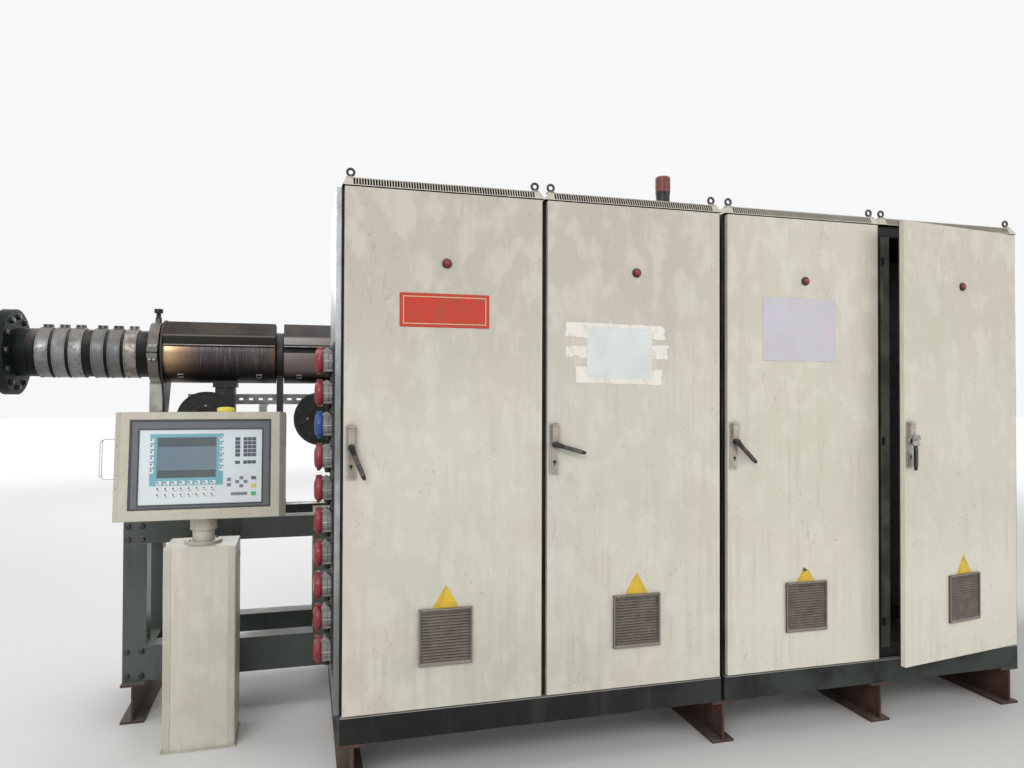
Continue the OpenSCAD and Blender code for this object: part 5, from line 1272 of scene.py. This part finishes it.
def zoneShapes():
    long, half, low = screw["long"], *zone["lid"][0]
    lid = carriedX(softened(zone["lid"], zone["lidSoft"]), long, 0.0010)
    lips = [tube([(x, side * (half + 0.0004), low + 0.0005) for x in (0.002, 0.25, long - 0.002)],
                 zone["lip"], 10)
            for side in (-1, 1)]
    inner, outer = zone["core"]
    coreLong = long - 2 * zone["coreIn"]
    core = facing(lathe([(inner, 0.0), (outer, 0.0), (outer, coreLong), (inner, coreLong)], 96, True),
                  (zone["coreIn"], 0, 0), rightward)
    c = zone["clips"]
    a, b, side = c["half"], c["half"] - c["thick"], c["side"] - c["thick"]
    clip = joined(box((-a, -c["side"], 0.0), (a, -side, c["high"]), 0.0006),
                  box((-a, side, 0.0), (a, c["side"], c["high"]), 0.0006),
                  box((-a, -side, 0.0), (-b, side, c["high"]), 0.0006),
                  box((b, -side, 0.0), (a, side, c["high"]), 0.0006))
    clips = [facing(clip, (x, zone["radius"] * math.cos(t), zone["radius"] * math.sin(t)),
                    (0, math.cos(t), math.sin(t))) for x in c["x"] for t in np.radians(c["angles"])]
    casings = []
    for k in range(screw["count"]):
        turn = math.degrees(math.asin(zone["cut"][k] / zone["radius"]))
        casings.append(onAxis(carriedX(arc(zone["radius"], 180 - turn, 360 + turn, 90), long, 0.0016),
                              zoneX(k)))
        for edge in (0.0, long - zone["end"]):
            ring = carriedX(arc(zone["endRadius"], 180 - turn, 360 + turn, 90), zone["end"], 0.0012)
            casings.append(onAxis(ring, zoneX(k) + edge))

    def everyZone(shape):
        return joined(*[onAxis(shape, zoneX(k)) for k in range(screw["count"])])

    def along(p):  # how far along its zone a point is, and which zone
        far = p[:, 0] - screw["zone"] + 0.010
        return np.column_stack((far % screw["pitch"] - 0.010, np.floor(far / screw["pitch"])))

    machinePiece("zoneCasings", joined(*casings), "zoneCasing", sharp=30, uv=along, stands="zone_casings")
    machinePiece("zoneLids", everyZone(lid), "zoneLid", sharp=12, uv=along, stands="zone_lids")
    machinePiece("zoneLips", everyZone(joined(*lips)), "zoneLip", slot="browned_steel", sharp=30, uv=along)
    machinePiece("zoneCores", everyZone(core), "coreBlack")
    machinePiece("zoneClips", everyZone(joined(*clips)), "boltSteel")


barrelTrim()
heaterBands()
clampTrim()
zoneShapes()
print("cabinets and barrel fitted out,", len(made), "pieces")

# Console on its pedestal
panel = {"place": (-1.907, -0.085, 1.170), "lean": -6.3, "wide": 0.483, "high": 0.310, "left": 0.0675,
         "top": 0.031, "screen": (0.233, 0.171), "face": -0.094, "rim": -0.0972, "frame": -0.100,
         "back": 0.0999}
frames = {  # outer and inner rectangles, each as low and high corner
    "console": ((-0.315, -0.219), (0.315, 0.229), (-0.2795, -0.1765), (0.2795, 0.1985)),
    "bezel": ((-0.2785, -0.1755), (0.2785, 0.1975), (-0.2715, -0.1685), (0.2715, 0.1905)),
    "seal": ((-0.2470, -0.1605), (0.2470, 0.1605), (-0.2418, -0.1553), (0.2418, 0.1553)),
    "teal": ((-0.201, -0.078), (0.086, 0.138), (-0.1742, -0.0472), (0.0592, 0.1242)),
    "shades": [((-0.170, -0.044), (0.055, -0.014)), ((-0.170, 0.085), (0.055, 0.121))],
}
keyHigh = 0.0022
handle = {"x": (-0.336, -0.362, -0.393), "y": -0.060, "z": (0.125, -0.040), "bend": 0.018, "steps": 7,
          "rod": 0.006, "footX": -0.338,
          "foot": [(0.0115, 0.0), (0.0115, 0.003), (0.0095, 0.005), (0.0062, 0.0055)]}
capKnob = {"place": (0.084, 0.0, 0.230), "sides": 180, "ribs": 30,
           "ribHigh": 0.022,  # a share of the radius
           "profile": [(0.0345, 0.0, 0), (0.0345, 0.003, 0), (0.0362, 0.005, 1), (0.0362, 0.0215, 1),
                       (0.0335, 0.0262, 0), (0.0240, 0.0285, 0), (0.0110, 0.0290, 0)]}
consoleBack = {"size": (0.636, 0.412), "slots": np.arange(-0.190, 0.1901, 0.014), "slotHalf": 0.0022,
               "screws": [(x, z) for x in (-0.306, 0.0, 0.306) for z in (-0.190, 0.200)],
               "corners": [(0.327, 0.091), (0.327, -0.082), (-0.327, 0.091), (-0.327, -0.082)]}


def consolePiece(name, shape, finishName, **more):  # leans a shape back about the console's swivel
    points, faces = aboutX(shape, panel["lean"])
    piece(name, (points + panel["place"], faces), "console", finishName, **more)


def onFace(shape, y):  # an outline's local Z faces out of the panel
    return facing(shape, (0.0, y, 0.0), front)


def frameOf(corners, depth, chamfer):
    return ringPlate(rect(*corners[:2]), rect(*corners[2:]), depth, chamfer)


def keyRects(at, count, pitch, size):  # x, z, width and height of each key, from the panel's top left
    return [(at[0] + c * pitch[0] - panel["wide"] / 2, panel["high"] / 2 - at[1] - r * pitch[1] - size[1],
             *size)
            for c in range(count[0]) for r in range(count[1])]


def keyCaps(rects):
    return joined(*[onFace(prism(roundRect(w, h, 0.0012, 2, (x + w / 2, z + h / 2)), keyHigh, 0.0006),
                           panel["face"])
                    for x, z, w, h in rects])


def keys():  # rows of keys beside and under the screen, each block given from the screen's edges
    left, top = panel["left"], panel["top"]
    beside, below = left + panel["screen"][0], top + panel["screen"][1]
    small, narrow = (0.016, 0.018), (0.016, 0.014)
    softPitch, smallPitch = (0.024, 0.0254), (0.0177, 0.017)
    soft = [*keyRects((left - 0.027, top + 0.005), (1, 6), softPitch, small),
            *keyRects((beside + 0.012, top - 0.001), (1, 6), softPitch, small),
            *keyRects((left, below + 0.011), (8, 3), (0.0301, 0.0255), (0.020, 0.018))]
    dark = [*keyRects((beside + 0.074, top + 0.003), (1, 5), smallPitch, (0.020, 0.014)),
            *keyRects((beside + 0.074, top + 0.103), (1, 1), smallPitch, (0.020, 0.013)),
            *keyRects((beside + 0.107, top + 0.003), (3, 5), smallPitch, narrow),
            *keyRects((beside + 0.107, top + 0.102), (3, 1), smallPitch, narrow)]
    grey = [*keyRects((beside + 0.043, below + 0.003), (1, 2), (0.016, 0.023), narrow),
            *keyRects((beside + 0.076, below + 0.014), (2, 1), (0.034, 0.016), (0.015, 0.013)),
            *keyRects((beside + 0.093, below - 0.002), (1, 2), (0.016, 0.034), (0.015, 0.013)),
            *keyRects((beside + 0.059, below + 0.065), (1, 1), (0.016, 0.016), (0.066, 0.012))]
    first, second, third = keyRects((beside + 0.140, below - 0.001), (1, 3), (0.016, 0.017), (0.020, 0.013))
    green = keyRects((beside + 0.140, below + 0.064), (1, 1), (0.016, 0.016), (0.020, 0.016))
    consolePiece("keysWhite", keyCaps([*soft, second]), "keyWhite", stands="console_keys")
    consolePiece("keysDark", keyCaps([*dark, first]), "keyDark")
    consolePiece("keysGrey", keyCaps(grey), "keyGrey")
    consolePiece("keyYellow", keyCaps([third]), "keyYellow")
    consolePiece("keyGreen", keyCaps(green), "keyGreen")
    face = panel["face"] - keyHigh
    dots = [onFace(prism(roundRect(0.0062, 0.0062, 0.001, 2, (x + 0.0055, z + h - 0.0058)), 0.0003), face)
            for x, z, w, h in soft]
    dots += [onFace(prism(rect((x + 0.006, z + 0.003), (x + 0.013, z + 0.0055)), 0.0003), face)
             for x, z, w, h in soft[12:]]
    consolePiece("keyDots", joined(*dots), "keyInk")


def handlePath():  # out from the side, down the front and back, with a quarter turn at each corner
    (root, out, far), y, (top, low), bend = handle["x"], handle["y"], handle["z"], handle["bend"]
    down = np.linspace(0.15, math.pi / 2, handle["steps"])
    back = np.linspace(0.0, math.pi / 2 - 0.15, handle["steps"])
    upper = [(far + bend * (1 - math.sin(a)), y, top - bend * (1 - math.cos(a))) for a in down]
    lower = [(far + bend * (1 - math.cos(a)), y, low + bend * (1 - math.sin(a))) for a in back]
    return [(root, y, top), (out, y, top), *upper, (far, y, 0.085), (far, y, 0.0), *lower, (out, y, low),
            (root, y, low)]


def consoleTrim():
    rim = panel["rim"]
    consolePiece("consoleFrame", onFace(frameOf(frames["console"], 0.0016, 0.0006), panel["frame"]),
                 "frameCream")
    consolePiece("bezelRim", onFace(frameOf(frames["bezel"], 0.0035, 0.0008), rim), "bezelDark")
    consolePiece("panelSeal", onFace(frameOf(frames["seal"], 0.0012, 0.0004), rim), "bezelDark")
    consolePiece("screenSurround", onFace(frameOf(frames["teal"], 0.0006, 0.0002), panel["face"]), "tealFilm")
    shades = [onFace(prism(rect(*corners), 0.0004), -0.0932) for corners in frames["shades"]]
    consolePiece("screenShade", joined(*shades), "screenDim")
    keys()
    consolePiece("handleRod", tube(handlePath(), handle["rod"], 24), "brightChrome", stands="console_handle")
    feet = [(handle["footX"], handle["y"], z) for z in handle["z"]]
    consolePiece("handleFeet", copies(lathe(handle["foot"], 28), feet, leftward), "brightChrome")
    sides = capKnob["sides"]
    ribs = capKnob["ribHigh"] * np.cos(capKnob["ribs"] * np.arange(sides) * 2 * math.pi / sides)[:, None]
    rings = [level(circle(r, sides) * (1 + ribs * ribbed), z) for r, z, ribbed in capKnob["profile"]]
    consolePiece("yellowCap", moved(loft(rings), capKnob["place"]), "yellowPlastic", sharp=40,
                 stands="console_cap")
    s = consoleBack
    corner = [facing(panScrew(0.0042), (x, -0.089, z), (math.copysign(0.7071, x), -0.7071, 0))
              for x, z in s["corners"]]
    behind = copies(panScrew(0.0038), [(x, 0.1012, z) for x, z in s["screws"]], rear)
    consolePiece("consoleScrews", joined(*corner, behind), "boltSteel")
    cover = facing(prism(roundRect(*s["size"], 0.004, middle=(0, 0.005)), 0.0014, 0.0006),
                   (0, panel["back"], 0), rear)
    consolePiece("consoleRear", cover, "doorCream")
    # black strips on the cover for the vent slots: painted shade where the openings are
    slots = [box((x - s["slotHalf"], 0.1012, 0.110), (x + s["slotHalf"], 0.1016, 0.150), 0.0001)
             for x in s["slots"]]
    consolePiece("rearSlots", joined(*slots), "blackPlastic")


pedestal = {"wide": 0.284, "deep": 0.230, "strip": 0.0125, "stripIn": 0.017, "z": (0.006, 0.838),
            "door": (0.080, 0.790), "doorIn": 0.020, "foot": 0.006, "screws": (0.085, (0.100, 0.770)),
            "flange": (0.062, 0.8578, 0.6)}  # flange: bolt circle, height, first bolt's turn


def pedestalTrim():
    s, (x, y) = pedestal, panel["place"][:2]
    w, d = s["wide"] / 2, s["deep"] / 2
    strips = [box((middle - s["strip"], y - d - 0.0012, s["z"][0]),
                  (middle + s["strip"], y - d, s["z"][1]), 0.0005)
              for middle in (x - w + s["stripIn"], x + w - s["stripIn"])]
    door = box((x + w, y - d + s["doorIn"], s["door"][0]),
               (x + w + 0.0016, y + d - s["doorIn"], s["door"][1]), 0.0006)
    machinePiece("pedestalSeams", joined(*strips, door), "frameCream")
    out = s["foot"]
    foot = frameOf(((x - w - out, y - d - out), (x + w + out, y + d + out), (x - w, y - d), (x + w, y + d)),
                   0.008, 0.002)
    machinePiece("pedestalFoot", foot, "frameCream")
    across, heights = s["screws"]
    screws = [facing(panScrew(0.004), (x + w + 0.0014, y + side, high), rightward)
              for side in (-across, across)
              for high in heights]
    radius, high, start = s["flange"]
    flange = [facing(hexBolt(0.006), (x + radius * math.cos(a), y + radius * math.sin(a), high))
              for a in np.arange(4) * math.pi / 2 + start]
    machinePiece("pedestalScrews", joined(*screws, *flange), "boltSteel")


consoleTrim()
pedestalTrim()

# Blowers, base frame, throat, hopper, gearbox and motor
blower = {
    "x": -0.072, "y": -0.046, "z": -0.320,  # from a zone's middle, and from the screw axis
    "rim": [(0.124, 0.0), (0.1355, 0.0), (0.1365, 0.001), (0.1365, 0.004), (0.1355, 0.005), (0.124, 0.005)],
    "rims": (0.002, 0.090), "wires": (0.016, 0.027, 0.038, 0.049, 0.060), "bars": (0.010, 0.066),
    "bolts": 0.067,
    "cowl": [(0.0600, 0.0), (0.0650, 0.001), (0.0650, 0.018), (0.0580, 0.0205), (0, 0.0205)],
    "ribs": 24, "motorY": 0.104, "cowlY": 0.204,
}


def blowerTrim():  # drawn about its own axis, then set under each zone
    s = blower
    quarters = np.arange(4) * math.pi / 2
    wires = [lathe([(r + 0.0012, 0), (r + 0.0012, 0.0024), (r - 0.0012, 0.0024), (r - 0.0012, 0)], 40, True)
             for r in s["wires"]]
    guard = [facing(wire, (0, -0.0105, 0), front) for wire in wires]
    guard += [tube([(r * math.cos(a), -0.0118, r * math.sin(a)) for r in s["bars"]], 0.0016, 8)
              for a in quarters + math.pi / 4]
    bolts = copies(hexBolt(0.005), [(s["bolts"] * math.cos(a), -0.008, s["bolts"] * math.sin(a))
                                    for a in quarters],
                   front)
    rim = lathe(s["rim"], 64, True)
    rims = joined(facing(rim, (0, s["rims"][0], 0), front), facing(rim, (0, s["rims"][1], 0), rear))
    rib = box((0.0600, -0.0012, 0.0), (0.0655, 0.0012, 0.092), 0.0006)
    ribbed = [facing(rib, (0, s["motorY"], 0), rear, a)
              for a in np.arange(s["ribs"]) * 2 * math.pi / s["ribs"]]
    ribbed += [turned(s["cowl"], (0, s["cowlY"], 0), rear, 48),
               box((-0.028, 0.118, 0.058), (0.028, 0.178, 0.084), 0.003)]
    places = [(zoneX(k) + screw["long"] / 2 + s["x"], screw["y"] + s["y"], screw["z"] + s["z"])
              for k in range(screw["count"])]

    def everyBlower(shape):
        return joined(*[moved(shape, place) for place in places])

    machinePiece("blowerGuards", everyBlower(joined(*guard)), "boltDark", slot="zinc_sheet")
    machinePiece("blowerRims", everyBlower(rims), "darkPaint")
    machinePiece("blowerBolts", everyBlower(bolts), "boltSteel")
    machinePiece("blowerMotors", everyBlower(joined(*ribbed)), "darkPaint")


base = {"left": -2.280, "long": 5.120, "half": 0.250, "top": 0.900, "legs": 7, "legIn": 0.050, "boltX": 0.030,
        "boltZ": (0.200, 0.310, 0.820, 0.880)}


def baseTrim():
    span = base["long"] - 2 * base["legIn"]
    legs = base["left"] + base["legIn"] + np.arange(base["legs"]) * span / (base["legs"] - 1)
    spots = [(x + dx, z) for x in legs for z in base["boltZ"] for dx in (-base["boltX"], base["boltX"])]
    for name, side, way in (("frameBolts", -1, front), ("frameBoltsRear", 1, rear)):
        bolts = [(x, screw["y"] + side * base["half"], z) for x, z in spots]
        machinePiece(name, copies(hexBolt(0.012), bolts, way, 0.3), "boltDark")


throat = {"x": 0.602, "middle": 0.140, "boltCircle": 0.161, "bolts": 12, "hopperZ": 0.190,
          "hopperBolts": 0.108,
          "nipple": [(0.020, 0.0), (0.020, 0.008), (0.014, 0.009), (0.014, 0.030), (0.0165, 0.031),
                     (0.0165, 0.044),
                     (0.011, 0.045), (0.011, 0.052)],
          "nipples": (0.070, -0.150, -0.060), "hopper": {"half": 0.310, "high": 0.560, "straight": 0.120}}


def throatTrim():
    s, y, z = throat, screw["y"], screw["z"]
    machinePiece("throatBolts", copies(hexBolt(0.012), ringPlaces(s["boltCircle"], s["bolts"], s["x"], 15),
                                       leftward),
                 "boltDark", slot="machine_paint")
    x, foot = s["x"] + s["middle"], z + s["hopperZ"]
    out = s["hopperBolts"]
    corners = [(x + sx * out, y + sy * out, foot + 0.014) for sx in (-1, 0, 1) for sy in (-1, 0, 1)
               if sx or sy]
    machinePiece("hopperBolts", copies(hexBolt(0.010), corners), "boltSteel")
    dx, dy, dz = s["nipples"]
    pipes = [turned(s["nipple"], (x + side * dx, y + dy, z + dz), front, 32) for side in (-1, 1)]
    machinePiece("waterNipples", joined(*pipes), "boltSteel")
    half, high = s["hopper"]["half"], foot + s["hopper"]["high"]
    low = high - s["hopper"]["straight"]
    wall, lip = half - 0.006, half + 0.0015
    rim = frameOf(((x - half, y - half), (x + half, y + half), (x - wall, y - wall), (x + wall, y + wall)),
                  0.008, 0.002)
    skin = half - 0.001
    runs = [((-lip, -lip), (lip, -skin)), ((-lip, skin), (lip, lip)), ((-lip, -skin), (-skin, skin)),
            ((skin, -skin), (lip, skin))]
    bead = [box((x + a[0], y + a[1], low - 0.004), (x + b[0], y + b[1], low + 0.004), 0.001) for a, b in runs]
    machinePiece("hopperRim", joined(moved(rim, (0, 0, high - 0.001)), *bead), "zincSheet")


gearbox = {
    "x": 0.882, "face": 0.310, "rimOut": 0.323, "splitZ": 0.018, "split": 0.03 + np.arange(10) * 0.0924,
    "feet": (0.04, 0.20, 0.37, 0.53, 0.70, 0.86), "feetZ": 0.036,
    "covers": [(0.62, 1.420, 0.105, 0.088), (0.24, 1.560, 0.080, 0.066)],  # x, z, radius, bolt circle
    "glass": [(0.034, 0.0), (0.034, 0.006), (0.030, 0.010), (0.022, 0.010), (0.020, 0.006), (0, 0.006)],
    "glassAt": (0.30, 1.30),
    "vent": [(0.030, 0.0), (0.030, 0.010), (0.024, 0.012), (0.024, 0.020), (0.034, 0.024), (0.034, 0.036),
             (0.026, 0.044), (0, 0.047)],
    "ventAt": (0.270, 2.0145), "inputX": 1.8115, "inputZ": 1.250, "inputCircle": 0.128,
}


def gearTrim():
    s, x0, y = gearbox, gearbox["x"], screw["y"]
    face = y - s["face"]
    for name, spots, z in (("gearBolts", s["split"], screw["z"] + s["splitZ"]),
                           ("gearFeet", s["feet"], base["top"] + s["feetZ"])):
        places = [(x0 + x, y + side * s["rimOut"], z) for x in spots for side in (-1, 1)]
        machinePiece(name, copies(hexBolt(0.0112), places), "boltDark", slot="machine_paint")
    x, z = s["glassAt"]
    machinePiece("oilGlass", turned(s["glass"], (x0 + x, face, z), front, 40), "brightChrome")
    covers, heads = [], []
    for x, z, r, circleOut in s["covers"]:
        profile = [(r, 0.0), (r, 0.012), (r - 0.004, 0.016), (0.5 * r, 0.016), (0.46 * r, 0.010), (0, 0.010)]
        covers.append(turned(profile, (x0 + x, face, z), front, 64))
        heads += [(x0 + x + circleOut * math.cos(a), face - 0.016, z + circleOut * math.sin(a))
                  for a in np.arange(8) * math.pi / 4 + 0.2]
    machinePiece("gearCovers", joined(*covers), "machinePaint")
    machinePiece("coverBolts", copies(hexBolt(0.009), heads, front), "boltDark", slot="machine_paint")
    x, z = s["ventAt"]
    machinePiece("gearBreather", moved(lathe(s["vent"], 40), (x0 + x, y, z)), "brightChrome")
    ring = [(s["inputX"], y + s["inputCircle"] * math.cos(a), s["inputZ"] + s["inputCircle"] * math.sin(a))
            for a in np.arange(8) * math.pi / 4 + 0.3]
    machinePiece("inputBolts", copies(hexBolt(0.010), ring, rightward), "boltDark", slot="machine_paint")


motor = {
    "x": 1.982, "z": 1.250, "radius": 0.262, "cowlEnd": 2.691, "rings": np.arange(0.050, 0.241, 0.019),
    "bars": (0.045, 0.245), "hub": [(0.046, 0.0), (0.046, 0.003), (0, 0.004)],
    "lid": {"x": (0.114, 0.426), "y": 0.136, "z": (0.096, 0.113), "boltIn": 0.014},
    "stands": (0.110, 0.450), "standY": 0.200, "pad": (0.082, 0.046, 0.020), "footBolt": 0.066,
    "gland": [(0.019, 0.0), (0.019, 0.014), (0.015, 0.016), (0.015, 0.030), (0.012, 0.032), (0, 0.032)],
    "glands": (0.220, 0.320), "eye": {"x": 0.070, "z": 0.031, "ring": 0.026, "rod": 0.007, "sides": 32,
                                      "steps": 12},
    "guard": {"x": 1.812, "y": 0.1655, "slots": np.arange(0.020, 0.125, 0.018), "z": (0.950, 1.105),
              "high": 0.125},
}


def motorTrim():
    s, y, z = motor, screw["y"], motor["z"]
    end, roof = s["cowlEnd"], s["z"] + s["radius"]
    rings = [facing(lathe([(q - 0.002, 0), (q + 0.002, 0), (q + 0.002, 0.003), (q - 0.002, 0.003)], 56, True),
                    (end - 0.0012, y, z), rightward) for q in s["rings"]]
    bars = [tube([(end + 0.0006, y + r * math.cos(a), z + r * math.sin(a)) for r in s["bars"]], 0.0022, 8)
            for a in np.arange(6) * math.pi / 3 + 0.26]
    machinePiece("cowlGrille", joined(*rings, *bars, turned(s["hub"], (end - 0.001, y, z), rightward, 40)),
                 "blackPlastic", slot="motor_paint")
    lid, x0 = s["lid"], s["x"]
    (left, right), (low, top), wide = lid["x"], lid["z"], lid["y"]
    machinePiece("motorBoxLid", box((x0 + left, y - wide, roof + low), (x0 + right, y + wide, roof + top),
                                    0.003),
                 "motorPaint")
    heads = [(x0 + x, y + side * (wide - lid["boltIn"]), roof + top)
             for x in (left + lid["boltIn"], right - lid["boltIn"])
             for side in (-1, 1)]
    machinePiece("motorBolts", copies(hexBolt(0.008), heads), "boltDark", slot="motor_paint")
    stands = [(x0 + x, y + side * s["standY"]) for x in s["stands"] for side in (-1, 1)]
    long, deep, high = s["pad"]
    pads = [box((x - long, v - deep, base["top"]), (x + long, v + deep, base["top"] + high), 0.003)
            for x, v in stands]
    machinePiece("motorPads", joined(*pads), "motorPaint")
    feet = [(x + dx, v, base["top"] + high) for x, v in stands for dx in (-s["footBolt"], s["footBolt"])]
    machinePiece("motorFeet", copies(hexBolt(0.010), feet), "boltDark", slot="motor_paint")
    glands = [turned(s["gland"], (x0 + x, y - 0.130, roof + 0.050), front, 28) for x in s["glands"]]
    machinePiece("motorGlands", joined(*glands), "blackPlastic")
    eye = s["eye"]
    turn = np.arange(eye["sides"]) * 2 * math.pi / eye["sides"]
    loops = []
    for b in np.arange(eye["steps"]) * 2 * math.pi / eye["steps"]:
        wide = eye["ring"] + eye["rod"] * math.cos(b)
        loops.append(np.column_stack((x0 + eye["x"] + wide * np.cos(turn),
                                      np.full(eye["sides"], y + eye["rod"] * math.sin(b)),
                                      roof + eye["z"] + wide * np.sin(turn))))
    machinePiece("motorEye", loft(loops, True), "boltDark", slot="motor_paint")
    g = s["guard"]
    # black strips on the guard for its slots: painted shade where the openings are
    slots = [box((g["x"] + 0.004 + x, y - g["y"], low),
                 (g["x"] + 0.010 + x, y - g["y"] + 0.001, low + g["high"]), 0.0002)
             for x in g["slots"] for low in g["z"]]
    machinePiece("guardSlots", joined(*slots), "blackPlastic")


blowerTrim()
baseTrim()
throatTrim()
gearTrim()
motorTrim()
print("console and drive fitted out,", len(made), "pieces")
